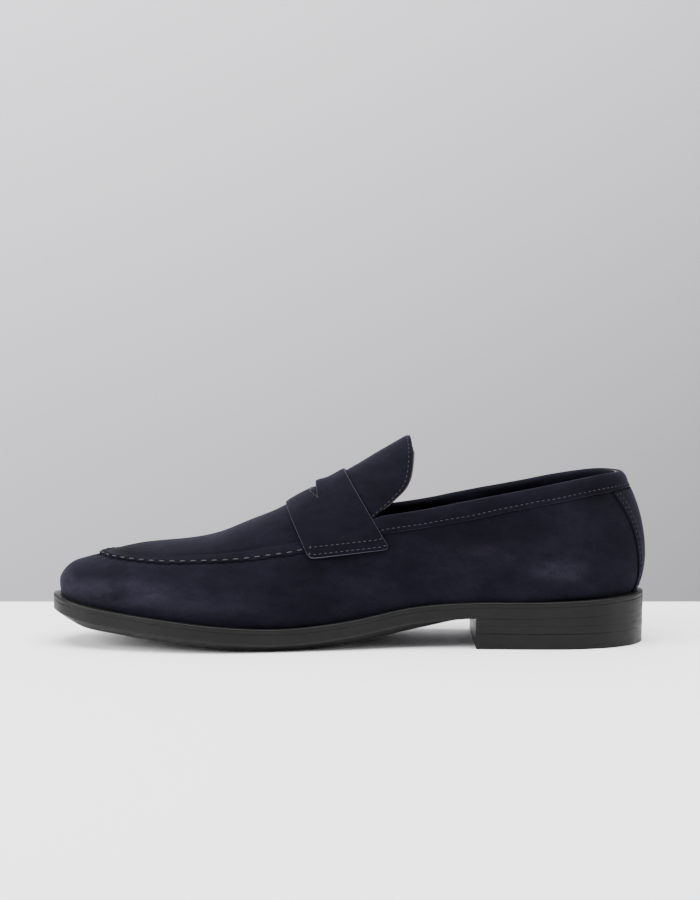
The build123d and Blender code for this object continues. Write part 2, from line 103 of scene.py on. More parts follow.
def outlineAt(x, y, direction):
    # how far the outsole reaches from a point, seen from above
    def inside(distance):
        below = (x + distance * direction[0], y + distance * direction[1], -0.1)
        return hitFrom("outsole", below, up, 1.0) is not None
    return lastTrue(inside, 0.0, 0.12)


def columnSet():
    sideCount = int((heelX - toeX) / spine["sideStep"])
    sideXs = [heelX + (toeX - heelX) * i / sideCount for i in range(sideCount)]
    columns = [(x, spineY(x), 0.0, -1.0) for x in sideXs]
    for i in range(spine["toeColumns"]):
        angle = math.pi * i / spine["toeColumns"]
        columns.append((toeX, spineY(toeX), -math.sin(angle), -math.cos(angle)))
    columns += [(toeX + heelX - x, spineY(toeX + heelX - x), 0.0, 1.0) for x in sideXs]
    for i in range(spine["heelColumns"]):
        angle = math.pi * i / spine["heelColumns"]
        columns.append((heelX, spineY(heelX), math.sin(angle), math.cos(angle)))
    return columns


columns = columnSet()
soleReach, soleTop = [], []
for x, y, dx, dy in columns:
    reach = outlineAt(x, y, (dx, dy))
    edge = reach - 1.4 * mm
    soleReach.append(reach)
    soleTop.append(dropOn("welt", x + edge * dx, y + edge * dy)[2])


def rolling(values, times, closed=True):
    # evens out small steps along the first axis
    values = np.array(values, dtype=float)
    for _ in range(times):
        if closed:
            before, after = np.roll(values, 1, 0), np.roll(values, -1, 0)
        else:
            before = np.concatenate([values[:1], values[:-1]])
            after = np.concatenate([values[1:], values[-1:]])
            before[0], after[-1] = 2 * values[0] - values[1], 2 * values[-1] - values[-2]
        values = 0.5 * values + 0.25 * (before + after)
    return values


soleReach = rolling(soleReach, 6)
soleTop = rolling(soleTop, 6)


def soleTopNear(x):
    # height of the sole's top edge at x, on the inner side
    sideCount = len([c for c in columns if c[3] == -1.0 and c[0] > toeX])
    xs = [c[0] for c in columns[:sideCount + 1]]
    return float(np.interp(x, xs[::-1], soleTop[:sideCount + 1][::-1]))


def spinePoint(x):
    return np.array([x, spineY(x), soleTopNear(x) + spine["lift"]])


def shoot(tree, centre, direction):
    # the outermost point of a solid from a centre, in a direction
    reach = spine["reach"]
    return hitFrom(tree, centre + reach * direction, -direction, reach)


def leaning(dx, dy, angle):
    return np.array([dx * math.cos(angle), dy * math.cos(angle), math.sin(angle)])


def surely(tree, centre, dx, dy, angle, spare=None):
    # a ray can slip between two triangles, so it is tried again a hair to each side
    for turn in (0.0, 0.0015, -0.0015, 0.004, -0.004):
        hit = shoot(tree, centre, leaning(dx, dy, angle + turn))
        if hit is not None:
            return hit
    return spare


def collarTop(x):
    # the quarters' top edge at x, in side view
    def below(z):
        return hitFrom("skirt", (x, -0.1, z), (0, 1, 0), 0.2) is not None
    return lastTrue(below, 0.045, 0.12)


collarXs = np.linspace(spine["throatX"] + 1 * mm, skirtHigh[0] - 12 * mm, 60)
collarZs = rolling([collarTop(x) for x in collarXs], 8, closed=False)


def collarZ(x):
    return float(np.interp(x, collarXs, collarZs))


def topAngle(column):
    x, y, dx, dy = column
    centre = spinePoint(x)
    if x < spine["throatX"]:
        def under(distance):
            return dropOn("apron", x + distance * dx, y + distance * dy) is not None
        reach = lastTrue(under, 0.0, 0.06)
        edge = dropOn("upper", x + reach * dx, y + reach * dy)
        return math.atan2(edge[2] - centre[2], reach)

    def below(angle):
        hit = shoot("skirt", centre, leaning(dx, dy, angle))
        return hit is not None and hit[2] < collarZ(hit[0])
    return lastTrue(below, 0.2, 1.4)


def bottomAngle(column, height):
    x, _, dx, dy = column
    centre = spinePoint(x)

    def above(angle):
        hit = shoot("upper", centre, leaning(dx, dy, -angle))
        return hit is not None and hit[2] > height
    return -lastTrue(above, -0.1, 1.3)


def gridNormals(grid, closed):
    if closed:
        along = np.roll(grid, -1, 0) - np.roll(grid, 1, 0)
    else:
        along = np.gradient(grid, axis=0)
    across = np.gradient(grid, axis=1)
    normal = np.cross(along, across)
    size = np.linalg.norm(normal, axis=2, keepdims=True)
    return normal / np.maximum(size, 1e-12)


def evened(grid, times, closed):
    grid = rolling(grid, times, closed)
    return np.swapaxes(rolling(np.swapaxes(grid, 0, 1), times, False), 0, 1)


def bell(values, at, width):
    return np.exp(-((values - at) / width) ** 2)


def placed(name, data):
    piece = bpy.data.objects.new(name, data)
    bpy.context.collection.objects.link(piece)
    return piece


def shadeSmooth(mesh):
    mesh.polygons.foreach_set("use_smooth", [True] * len(mesh.polygons))


def gridMesh(name, grid, closed, normals):
    # one sheet of quads, turned so that its outside is where the normals point
    rows, count = grid.shape[1], grid.shape[0]
    faces = []
    i, j = count // 2, rows // 2
    flip = np.cross(grid[i + 1, j] - grid[i, j], grid[i, j + 1] - grid[i, j]) @ normals[i, j] < 0
    for i in range(count if closed else count - 1):
        for j in range(rows - 1):
            a, b = i * rows + j, ((i + 1) % count) * rows + j
            face = [a, b, b + 1, a + 1]
            faces.append(face[::-1] if flip else face)
    mesh = bpy.data.meshes.new(name)
    mesh.from_pydata(grid.reshape(-1, 3).tolist(), [], faces)
    mesh.validate()
    shadeSmooth(mesh)
    return placed(name, mesh)


def closedMesh(name, points, faces):
    # welds the points that meet and turns all faces outwards
    mesh = bpy.data.meshes.new(name)
    mesh.from_pydata([tuple(p) for p in points], [], faces)
    work = bmesh.new()
    work.from_mesh(mesh)
    bmesh.ops.remove_doubles(work, verts=work.verts, dist=layers["merge"])
    bmesh.ops.dissolve_degenerate(work, edges=work.edges, dist=0.001 * mm)
    bmesh.ops.recalc_face_normals(work, faces=work.faces)
    work.to_mesh(mesh)
    work.free()
    shadeSmooth(mesh)
    return placed(name, mesh)


def ringFaces(count, size, closed):
    # quads between each ring of points and the next
    faces = []
    for i in range(count if closed else count - 1):
        for j in range(size):
            a, b = i * size, ((i + 1) % count) * size
            faces.append([a + j, b + j, b + (j + 1) % size, a + (j + 1) % size])
    return faces


def tubeMesh(name, rings, closed):
    # rings of points joined one to the next, in a closed loop or with a cap at each end
    count, size = len(rings), len(rings[0])
    points = [p for ring in rings for p in ring]
    faces = ringFaces(count, size, closed)
    if not closed:
        faces += [list(range(size)), list(range((count - 1) * size, count * size))]
    return closedMesh(name, points, faces)


def settled(piece):
    # the finished mesh, with its modifiers applied
    bpy.context.view_layer.update()
    finished = piece.evaluated_get(bpy.context.evaluated_depsgraph_get())
    mesh = bpy.data.meshes.new_from_object(finished)
    piece.modifiers.clear()
    piece.data = mesh
    return piece


def thickened(piece, thickness, materials=()):
    # with two materials, the second one covers the cut edge
    for material in materials:
        piece.data.materials.append(material)
    weld = piece.modifiers.new("weld", "WELD")
    weld.merge_threshold = layers["merge"]
    wall = piece.modifiers.new("wall", "SOLIDIFY")
    wall.thickness, wall.offset = thickness, -1.0
    wall.material_offset_rim = 1 if len(materials) > 1 else 0
    edges = piece.modifiers.new("edges", "BEVEL")
    edges.width, edges.segments = layers["rounding"], 2
    edges.limit_method, edges.angle_limit = "ANGLE", math.radians(55)
    edges.use_clamp_overlap = True
    edges.material = 1 if len(materials) > 1 else -1
    return settled(piece)


def dressed(piece, material, *stands, slot="suede"):
    if not len(piece.data.materials):
        piece.data.materials.append(material)
    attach(piece, "root")
    if stands:
        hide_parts(*stands)
    print("made", piece.name, len(piece.data.polygons))


def nodeMaterial(name):
    material = bpy.data.materials.new(name)
    material.use_nodes = True
    tree = material.node_tree
    return material, tree, tree.nodes["Principled BSDF"]


def noiseOn(tree, scale, detail=4.0, roughness=0.55, stretch=None):
    place = tree.nodes.new("ShaderNodeTexCoord")
    noise = tree.nodes.new("ShaderNodeTexNoise")
    noise.inputs["Scale"].default_value = scale
    noise.inputs["Detail"].default_value = detail
    noise.inputs["Roughness"].default_value = roughness
    if stretch:
        mapping = tree.nodes.new("ShaderNodeMapping")
        mapping.inputs["Scale"].default_value = stretch
        tree.links.new(place.outputs["Object"], mapping.inputs["Vector"])
        tree.links.new(mapping.outputs["Vector"], noise.inputs["Vector"])
    else:
        tree.links.new(place.outputs["Object"], noise.inputs["Vector"])
    return noise.outputs["Fac"]


def rampOn(tree, value, stops):
    # each stop is a place and a colour or one grey
    ramp = tree.nodes.new("ShaderNodeValToRGB")
    stops = [(place, color if isinstance(color, tuple) else (color,) * 3) for place, color in stops]
    for element, (place, color) in zip(ramp.color_ramp.elements, (stops[0], stops[-1])):
        element.position, element.color = place, (*color, 1)
    for place, color in stops[1:-1]:
        ramp.color_ramp.elements.new(place).color = (*color, 1)
    tree.links.new(value, ramp.inputs["Fac"])
    return ramp.outputs["Color"]


def tinted(tree, shader, value, base, dark, pale):
    # a base colour that goes a little darker and paler
    low, high = (tuple(min(1.0, share * c) for c in base) for share in (dark, pale))
    tree.links.new(rampOn(tree, value, [(0.3, low), (0.7, high)]), shader.inputs["Base Color"])


def bumpOn(tree, shader, value, strength, distance, onto=None):
    bump = tree.nodes.new("ShaderNodeBump")
    bump.inputs["Strength"].default_value = strength
    bump.inputs["Distance"].default_value = distance
    tree.links.new(value, bump.inputs["Height"])
    if onto is not None:
        tree.links.new(onto, bump.inputs["Normal"])
    tree.links.new(bump.outputs["Normal"], shader.inputs["Normal"])
    return bump.outputs["Normal"]


def mixed(tree, factor, first, second, kind="MIX"):
    mix = tree.nodes.new("ShaderNodeMix")
    mix.data_type, mix.blend_type = "RGBA", kind
    if isinstance(factor, float):
        mix.inputs["Factor"].default_value = factor
    else:
        tree.links.new(factor, mix.inputs["Factor"])
    for socket, value in (("A", first), ("B", second)):
        target = [s for s in mix.inputs if s.name == socket and s.type == "RGBA"][0]
        if isinstance(value, tuple):
            target.default_value = (*value, 1)
        else:
            tree.links.new(value, target)
    return [s for s in mix.outputs if s.type == "RGBA"][0]


def vectorOn(tree, operation, source, second=(0, 0, 0)):
    step = tree.nodes.new("ShaderNodeVectorMath")
    step.operation = operation
    step.inputs[1].default_value = second
    tree.links.new(source, step.inputs[0])
    return step.outputs["Value" if operation in ("LENGTH", "DOT_PRODUCT") else "Vector"]


def patchOn(tree, place, centre, radii):
    # 1 at a place on the shoe's side, fading to 0 at its radii; it takes in both sides of the shoe
    offset = vectorOn(tree, "SUBTRACT", place, (centre[0] * mm, 0, centre[1] * mm))
    scaled = vectorOn(tree, "MULTIPLY", offset, (1 / (radii[0] * mm), 0, 1 / (radii[1] * mm)))
    fade = tree.nodes.new("ShaderNodeMapRange")
    fade.interpolation_type = "SMOOTHERSTEP"
    fade.inputs["From Min"].default_value, fade.inputs["From Max"].default_value = 1.0, 0.0
    tree.links.new(vectorOn(tree, "LENGTH", scaled), fade.inputs["Value"])
    return fade.outputs["Result"]


def product(tree, first, second):
    times = tree.nodes.new("ShaderNodeMath")
    times.operation = "MULTIPLY"
    for socket, value in zip(times.inputs, (first, second)):
        if isinstance(value, float):
            socket.default_value = value
        else:
            tree.links.new(value, socket)
    return times.outputs[0]


# paler and darker patches on the suede, partly the nap lying differently and partly painted light and painted shade:
# (x, z) and radii in mm, and how strongly
paintedLightPatches = (((-117, 29), (52, 11), 0.95), ((-146, 31), (16, 10), 0.6), ((104, 39), (24, 9), 0.75),
               ((70, 47), (50, 12), 0.3), ((-70, 24), (40, 9), 0.5))
paintedShadePatches = (((-116, 47), (26, 7), 0.95), ((128, 76), (42, 15), 0.5), ((-20, 76), (26, 10), 0.2),
               ((20, 78), (16, 12), 0.35))
suede = {"dark": (0.0021, 0.0019, 0.0036), "mid": (0.0040, 0.0036, 0.0074), "pale": (0.0078, 0.0070, 0.0130),
         "paintedLight": (0.0180, 0.0165, 0.0262), "shade": (0.0016, 0.0016, 0.0020),
         "sheen": 0.10, "sheenTint": (0.42, 0.39, 0.55, 1), "specular": 0.06, "rough": 0.95}


def makeSuede():
    material, tree, shader = nodeMaterial("navySuede")
    place = tree.nodes.new("ShaderNodeTexCoord").outputs["Object"]
    color = rampOn(tree, noiseOn(tree, 26.0, 4.0, 0.6, (0.6, 1.0, 1.0)),
                   [(0.32, suede["dark"]), (0.52, suede["mid"]), (0.74, suede["pale"])])
    cloud = rampOn(tree, noiseOn(tree, 55.0, 5.0, 0.65, (0.6, 1.0, 1.2)), [(0.35, 0.15), (0.7, 1.0)])
    # painted light: paler patches on the toe and the sides where light and sheen fall, partly the nap lying differently
    for centre, radii, strength in paintedLightPatches:
        amount = product(tree, product(tree, patchOn(tree, place, centre, radii), cloud), strength)
        color = mixed(tree, amount, color, suede["paintedLight"])
    # painted shade: darker patches on the apron's toe, the instep and the back of the collar
    for centre, radii, strength in paintedShadePatches:
        amount = product(tree, patchOn(tree, place, centre, radii), strength)
        color = mixed(tree, amount, color, suede["shade"])
    brushed = rampOn(tree, noiseOn(tree, 240.0, 3.0, 0.6, (0.45, 1.0, 1.0)), [(0.3, 0.82), (0.7, 1.2)])
    fibre = rampOn(tree, noiseOn(tree, 2400.0, 2.0, 0.7), [(0.3, 0.55), (0.7, 1.45)])
    color = mixed(tree, 1.0, color, brushed, "MULTIPLY")
    color = mixed(tree, 0.8, color, fibre, "MULTIPLY")
    tree.links.new(color, shader.inputs["Base Color"])
    shader.inputs["Roughness"].default_value = suede["rough"]
    shader.inputs["Specular IOR Level"].default_value = suede["specular"]
    shader.inputs["Sheen Weight"].default_value = suede["sheen"]
    shader.inputs["Sheen Roughness"].default_value = 0.4
    shader.inputs["Sheen Tint"].default_value = suede["sheenTint"]
    first = bumpOn(tree, shader, noiseOn(tree, 2400.0, 2.0, 0.7), 0.4, 0.12 * mm)
    bumpOn(tree, shader, noiseOn(tree, 420.0, 3.0, 0.6), 0.3, 0.35 * mm, first)
    return material


def makeRubber(name, base, rough):
    material, tree, shader = nodeMaterial(name)
    tinted(tree, shader, noiseOn(tree, 60.0, 4.0), base, 0.8, 1.25)
    streaks = noiseOn(tree, 120.0, 5.0, 0.6, (1.0, 1.0, 5.0))
    gloss = rampOn(tree, streaks, [(0.35, rough[0]), (0.65, rough[1])])
    tree.links.new(gloss, shader.inputs["Roughness"])
    shader.inputs["Specular IOR Level"].default_value = 0.17
    bumpOn(tree, shader, noiseOn(tree, 900.0, 4.0, 0.6, (1.0, 1.0, 4.0)), 0.10, 0.10 * mm)
    return material


def makeLeather(name, base, rough=0.55):
    material, tree, shader = nodeMaterial(name)
    tinted(tree, shader, noiseOn(tree, 45.0, 4.0), base, 0.75, 1.3)
    shader.inputs["Roughness"].default_value = rough
    cells = tree.nodes.new("ShaderNodeTexVoronoi")
    cells.inputs["Scale"].default_value = 900.0
    place = tree.nodes.new("ShaderNodeTexCoord")
    tree.links.new(place.outputs["Object"], cells.inputs["Vector"])
    bumpOn(tree, shader, cells.outputs["Distance"], 0.25, 0.08 * mm)
    return material


def makePlain(name, base, rough=0.8, metal=0.0, grain=500.0, depth=0.15):
    material, tree, shader = nodeMaterial(name)
    tinted(tree, shader, noiseOn(tree, grain, 5.0), base, 0.75, 1.2)
    shader.inputs["Roughness"].default_value = rough
    shader.inputs["Metallic"].default_value = metal
    bumpOn(tree, shader, noiseOn(tree, grain * 1.7, 4.0), depth, 0.1 * mm)
    return material


suedeMat = makeSuede()
soleMat = makeRubber("soleRubber", (0.0036, 0.0035, 0.0035), (0.38, 0.54))
heelMat = makeRubber("heelRubber", (0.0032, 0.0031, 0.0031), (0.34, 0.5))
liningMat = makeLeather("blackLining", (0.010, 0.010, 0.011))
brownMat = makeLeather("brownLining", (0.055, 0.036, 0.027), 0.6)
threadMat = makePlain("greyThread", (0.0125, 0.0122, 0.0165), 0.8, 0.0, 1500.0)
seamThreadMat = makePlain("seamThread", (0.0165, 0.0165, 0.0195), 0.8, 0.0, 1500.0)
# the cut edge's paint: the raw leather's own paler tone, made paler still as a painted highlight along the edges
rawEdgeHighlightMat = makePlain("rawEdgeAndHighlight", (0.050, 0.047, 0.066), 0.95, 0.0, 1800.0, 0.4)
stiffMat = makePlain("stiffener", (0.72, 0.69, 0.6), 0.8)
clothMat = makePlain("backingCloth", (0.75, 0.75, 0.7), 0.95, 0.0, 700.0, 0.5)
hidden = {
    "heel_nails": makePlain("nailSteel", (0.55, 0.55, 0.57), 0.35, 1.0),
    "shank": makePlain("shankSteel", (0.5, 0.5, 0.52), 0.4, 1.0),
    "bottom_filler": makePlain("corkFiller", (0.42, 0.26, 0.14), 0.9, 0.0, 250.0, 0.6),
    "insole_board": makePlain("insoleBoard", (0.52, 0.4, 0.26), 0.9, 0.0, 300.0, 0.4),
    "sock_foam": makePlain("latexFoam", (0.78, 0.74, 0.58), 0.95, 0.0, 600.0, 0.6),
    "sock_liner": makeLeather("sockLeather", (0.013, 0.013, 0.014), 0.8),
    # the topline tape and the tongue interlining are painted darker than their slots, as painted shade, so that their
    # uncovered edges read as dark gaps
    "topline_tape": makePlain("tapePaintedShade", (0.012, 0.012, 0.014), 0.9),
    "tongue_interlining": makePlain("tanClothPaintedShade", (0.045, 0.031, 0.024), 0.9, 0.0, 700.0, 0.4),
}
for name in ("toe_puff", "heel_counter"):
    hidden[name] = stiffMat
for name in ("vamp_backer", "side_backer_inner", "side_backer_outer"):
    hidden[name] = clothMat
for name in ("vamp_lining", "quarter_lining_inner", "quarter_lining_outer", "heel_grip"):
    hidden[name] = liningMat
for name, material in hidden.items():
    mesh = nodes[name].data
    mesh.materials.clear()
    mesh.materials.append(material)

# the skirt: the wall of the shoe, from the sole up to the apron's seam and the collar
skirt = {"rows": 46, "tuck": 2.2 * mm, "evening": 4, "seamDip": 0.85 * mm, "seamFade": 3.2 * mm, "under": 0.045,
         "pucker": 0.22 * mm, "puckerFade": 4.5 * mm, "ledge": 2.9 * mm, "toeLedge": 0.4 * mm, "lean": 0.5 * mm,
         "underSeam": 1.3 * mm}
seamStitch = {"pitch": 5.3 * mm, "dash": 3.1 * mm, "thread": 0.75 * mm, "stand": 0.05 * mm, "rise": 0.9 * mm,
              "passes": 20}
# where the form moves from the plain one: how far, at which place along it and over what width
nudge = {"toe": (-1.5 * mm, -130 * mm, 15 * mm), "bend": (-1.0 * mm, -76 * mm, 13 * mm),
         "instep": (1.5 * mm, -50 * mm, 12 * mm)}
nudgeFrom = ((30 * mm, 14 * mm, ("toe",)), (46 * mm, 12 * mm, ("bend", "instep")))


def makeSkirtGrid():
    lows = rolling([bottomAngle(c, top - skirt["tuck"]) for c, top in zip(columns, soleTop)], 3)
    highs = np.array([topAngle(c) for c in columns])
    front = np.array([c[0] < spine["throatX"] for c in columns])
    evenHighs = rolling(highs, 3)
    edgeOfFront = front != np.roll(front, 1)
    nearJoint = np.convolve(edgeOfFront, np.ones(9), "same") > 0
    highs = np.where(nearJoint, highs, evenHighs)
    grid = []
    for column, low, high, isFront in zip(columns, lows, highs, front):
        centre = spinePoint(column[0])
        rows = []
        reach = skirt["under"] if isFront else -0.002
        for share in np.linspace(0.0, 1.0, skirt["rows"]):
            angle = low + share * (high + reach - low)
            rows.append(surely("upper", centre, column[2], column[3], angle, rows[-1] if rows else None))
        grid.append(rows)
    return np.array(grid), front, highs


baseSkirt, frontColumns, topAngles = makeSkirtGrid()
baseSkirt = evened(baseSkirt, skirt["evening"], True)


def filledOut(grid):
    # the lower wall stands straight on the sole, a ledge in from its edge, except round the heel
    for i, (x, y, dx, dy) in enumerate(columns):
        middle = np.array([x, y])
        out = (grid[i, :, :2] - middle) @ np.array([dx, dy])
        height = grid[i, :, 2] - soleTop[i]
        weight = float(np.interp(x, (85 * mm, 112 * mm), (1.0, 0.0))) if dx <= 0 else 0.0
        toe = max(0.0, -dx)
        limit = soleReach[i] - (skirt["ledge"] + toe * skirt["toeLedge"])
        widest = max(height[int(np.argmax(out))], 6 * mm)
        low = np.clip((widest - height) / widest, 0.0, 1.2)
        wanted = np.maximum(out, limit - skirt["lean"] * low ** 2)
        wanted = np.where(height < widest, wanted, out)
        short = np.minimum(wanted, limit + 0.1 * mm)
        wanted = wanted + toe * (short - wanted)
        out = out + weight * (wanted - out)
        grid[i, :, 0] = x + out * dx
        grid[i, :, 1] = y + out * dy
    return grid


def nudged(points):
    # the toe lies a little lower and the instep rises straighter than the plain form
    x, height = points[..., 0], points[..., 2]
    for low, fade, names in nudgeFrom:
        high = np.clip((height - low) / fade, 0.0, 1.0)
        for move, at, width in (nudge[name] for name in names):
            points[..., 2] += move * high * bell(x, at, width)
    return points


baseSkirt = evened(nudged(filledOut(baseSkirt)), 2, True)
baseNormals = gridNormals(baseSkirt, True)
if np.mean(baseNormals[:200, 20, 1]) > 0:
    baseNormals = -baseNormals
print("skirt grid", baseSkirt.shape)


def lengthAlong(points):
    # how far along a row each of its points lies
    steps = np.linalg.norm(np.diff(points, axis=0), axis=1)
    return np.concatenate([[0.0], np.cumsum(steps)])


def valueAlong(values, length, distance):
    return np.array([np.interp(distance, length, values[:, k]) for k in range(3)])


def alongColumn(points, distance):
    # the point at this distance along a row of points
    return valueAlong(points, lengthAlong(points), distance)


def distanceFromTop(grid):
    steps = np.linalg.norm(np.diff(grid, axis=1), axis=2)
    along = np.concatenate([np.zeros((len(grid), 1)), np.cumsum(steps[:, ::-1], axis=1)], axis=1)
    return along[:, ::-1]


# the seam, from the throat on the inner side round the toe to the throat on the outer side
frontIndex = np.where(frontColumns)[0]
seamPoints = np.array([alongColumn(baseSkirt[i][::-1], skirt["underSeam"]) for i in frontIndex])
seamNormals = baseNormals[frontIndex, -2]
seamAlong = lengthAlong(seamPoints)


def makeSkirt():
    gap = distanceFromTop(baseSkirt)
    lift = np.zeros(baseSkirt.shape[:2])
    phase = np.cos(2 * math.pi * seamAlong / seamStitch["pitch"])
    dip = -skirt["seamDip"] * bell(gap[frontIndex], 0.0, skirt["seamFade"])
    pucker = skirt["pucker"] * phase[:, None] * bell(gap[frontIndex], 0.0, skirt["puckerFade"])
    lift[frontIndex] = dip + pucker
    grid = baseSkirt + baseNormals * lift[:, :, None]
    piece = gridMesh("skirt", grid, True, baseNormals)
    dressed(thickened(piece, layers["suede"]), suedeMat, "skirt")


makeSkirt()


def makeInside(name, node, slot):
    # a merged copy of a hidden layer, which follows the lowered toe
    work = bmesh.new()
    work.from_mesh(nodes[node].data)
    bmesh.ops.remove_doubles(work, verts=work.verts, dist=0.005 * mm)
    places = nudged(np.array([v.co[:] for v in work.verts]))
    for vertex, place in zip(work.verts, places):
        vertex.co = place
    mesh = bpy.data.meshes.new(name)
    work.to_mesh(mesh)
    work.free()
    mesh.materials.clear()
    dressed(placed(name, mesh), hidden[node], node, slot=slot)


makeInside("toePuff", "toe_puff", "stiffener")
makeInside("vampBacker", "vamp_backer", "backing_cloth")
makeInside("vampLining", "vamp_lining", "black_lining")

# the apron: it covers the toes and the instep, and its back end is the tongue
apron = {"across": 64, "toeRows": 26, "midStep": 1.3 * mm, "backRows": 46, "backFrom": -20 * mm, "evening": 3,
         "rollHeight": 0.30 * mm, "toeRoll": 1.1 * mm, "rollAt": 1.9 * mm, "rollWidth": 1.3 * mm,
         "toeFrom": -112 * mm, "toeFade": 12 * mm, "backFade": 12 * mm,
         "creaseAt": 6.0 * mm, "creaseWidth": 0.9 * mm, "creaseDepth": 0.40 * mm, "creaseLeast": 0.15,
         "creaseFrom": -95 * mm, "creaseFade": 40 * mm, "pucker": 0.16 * mm, "puckerAt": 1.2 * mm,
         "puckerWidth": 2.2 * mm, "tipLift": 2.6 * mm, "tipFrom": 4 * mm, "tipFade": 26 * mm}


def seamAngleAt(x, side):
    picked = [i for i in frontIndex if columns[i][3] == side]
    xs = np.array([columns[i][0] for i in picked])
    angles = np.array([topAngles[i] for i in picked])
    order = np.argsort(xs)
    return float(np.interp(x, xs[order], angles[order]))


def seamYAt(x, side):
    # the seam's place across the shoe, ahead of the toe fan's centre too
    middle = spineY(x)
    def under(distance):
        return dropOn("apron", x, middle + side * distance) is not None
    return middle + side * lastTrue(under, 0.0, 0.06)


def tongueBack(angle, side):
    def on(x):
        return shoot("apron", spinePoint(x), leaning(0.0, side, angle)) is not None
    return lastTrue(on, 5 * mm, 0.04)


def makeApronGrid():
    xTip, xBack = apronLow[0] + 0.2 * mm, apron["backFrom"]
    shares = 1 - np.cos(np.linspace(0.04, 0.5, apron["toeRows"]) * math.pi)
    toeXs = xTip + shares * 16 * mm
    midCount = int((xBack - toeXs[-1]) / apron["midStep"])
    xs = list(toeXs) + list(np.linspace(toeXs[-1], xBack, midCount + 1)[1:])
    across = np.linspace(-1.0, 1.0, apron["across"] * 2 + 1)
    grid = []
    for x in xs:
        inner, outer, middle = seamYAt(x, -1), seamYAt(x, 1), spineY(x)
        centre = spinePoint(x)
        row = []
        for a in across:
            side = -1 if a < 0 else 1
            edgeY = inner if a < 0 else outer
            edge = dropOn("upper", x, edgeY)
            low = math.atan2(edge[2] - centre[2], abs(edgeY - middle))
            angle = math.pi / 2 - abs(a) * (math.pi / 2 - low)
            row.append(surely("upper", centre, 0.0, side, angle, row[-1] if row else None))
        grid.append(row)
    throat = {side: seamAngleAt(spine["throatX"], side) for side in (-1, 1)}
    backs = {}
    for side in (-1, 1):
        heights = np.linspace(0, 1, apron["across"] + 1)
        angles = [throat[side] + h * (math.pi / 2 - throat[side]) for h in heights]
        found = [tongueBack(angle + 0.002 if i == 0 else angle, side) for i, angle in enumerate(angles)]
        backs[side] = rolling(found, 4, closed=False)
    for w in np.linspace(0.0, 1.0, apron["backRows"] + 1)[1:]:
        row = []
        for a in across:
            side = -1 if a < 0 else 1
            h = 1 - abs(a)
            back = backs[side][int(round(h * apron["across"]))]
            lowX = xBack + w * (spine["throatX"] - xBack)
            low = seamAngleAt(lowX, side)
            x = xBack + w * (back - 0.05 * mm - xBack)
            angle = low + h * (math.pi / 2 - low)
            spare = 2 * grid[-1][len(row)] - grid[-2][len(row)]
            row.append(surely("upper", spinePoint(x), 0.0, side, angle, spare))
        grid.append(row)
    return np.array(grid)


baseApron = evened(nudged(makeApronGrid()), apron["evening"], False)
# the tip of the tongue stands up a little
tipShare = np.clip((baseApron[:, :, 0] - apron["tipFrom"]) / apron["tipFade"], 0.0, 1.0) ** 1.4
ridgeShare = np.cos(np.linspace(-1, 1, baseApron.shape[1]) * math.pi / 2) ** 0.7
baseApron[:, :, 2] += apron["tipLift"] * tipShare * ridgeShare[None, :]
apronNormals = gridNormals(baseApron, False)
if np.mean(apronNormals[30:60, 50:80, 2]) < 0:
    apronNormals = -apronNormals
print("apron grid", baseApron.shape)


def seamGap(points):
    # distance of each point from the seam, and how far along the seam it lies
    gaps = np.empty(points.shape[:2])
    places = np.empty(points.shape[:2])
    for i, row in enumerate(points):
        apart = np.linalg.norm(row[:, None, :] - seamPoints[None, :, :], axis=2)
        nearest = np.argmin(apart, axis=1)
        gaps[i] = apart[np.arange(len(row)), nearest]
        places[i] = seamAlong[nearest]
    return gaps, places


def makeApron():
    gap, place = seamGap(baseApron)
    x = baseApron[:, :, 0]
    toeward = np.clip((apron["toeFrom"] - x) / apron["toeFade"], 0.0, 1.0)
    roll = apron["rollHeight"] + (apron["toeRoll"] - apron["rollHeight"]) * toeward
    lift = roll * bell(gap, apron["rollAt"], apron["rollWidth"])
    creased = np.clip((x - apron["creaseFrom"]) / apron["creaseFade"], apron["creaseLeast"], 1.0)
    lift -= apron["creaseDepth"] * creased * bell(gap, apron["creaseAt"], apron["creaseWidth"])
    phase = np.cos(2 * math.pi * place / seamStitch["pitch"])
    lift += apron["pucker"] * phase * bell(gap, apron["puckerAt"], apron["puckerWidth"])
    toBack = np.linalg.norm(baseApron - baseApron[-1][None, :, :], axis=2)
    lift *= np.clip(toBack / apron["backFade"], 0, 1)
    grid = baseApron + apronNormals * lift[:, :, None]
    piece = gridMesh("apron", grid, False, apronNormals)
    dressed(thickened(piece, layers["suede"]), suedeMat, "apron")


makeApron()


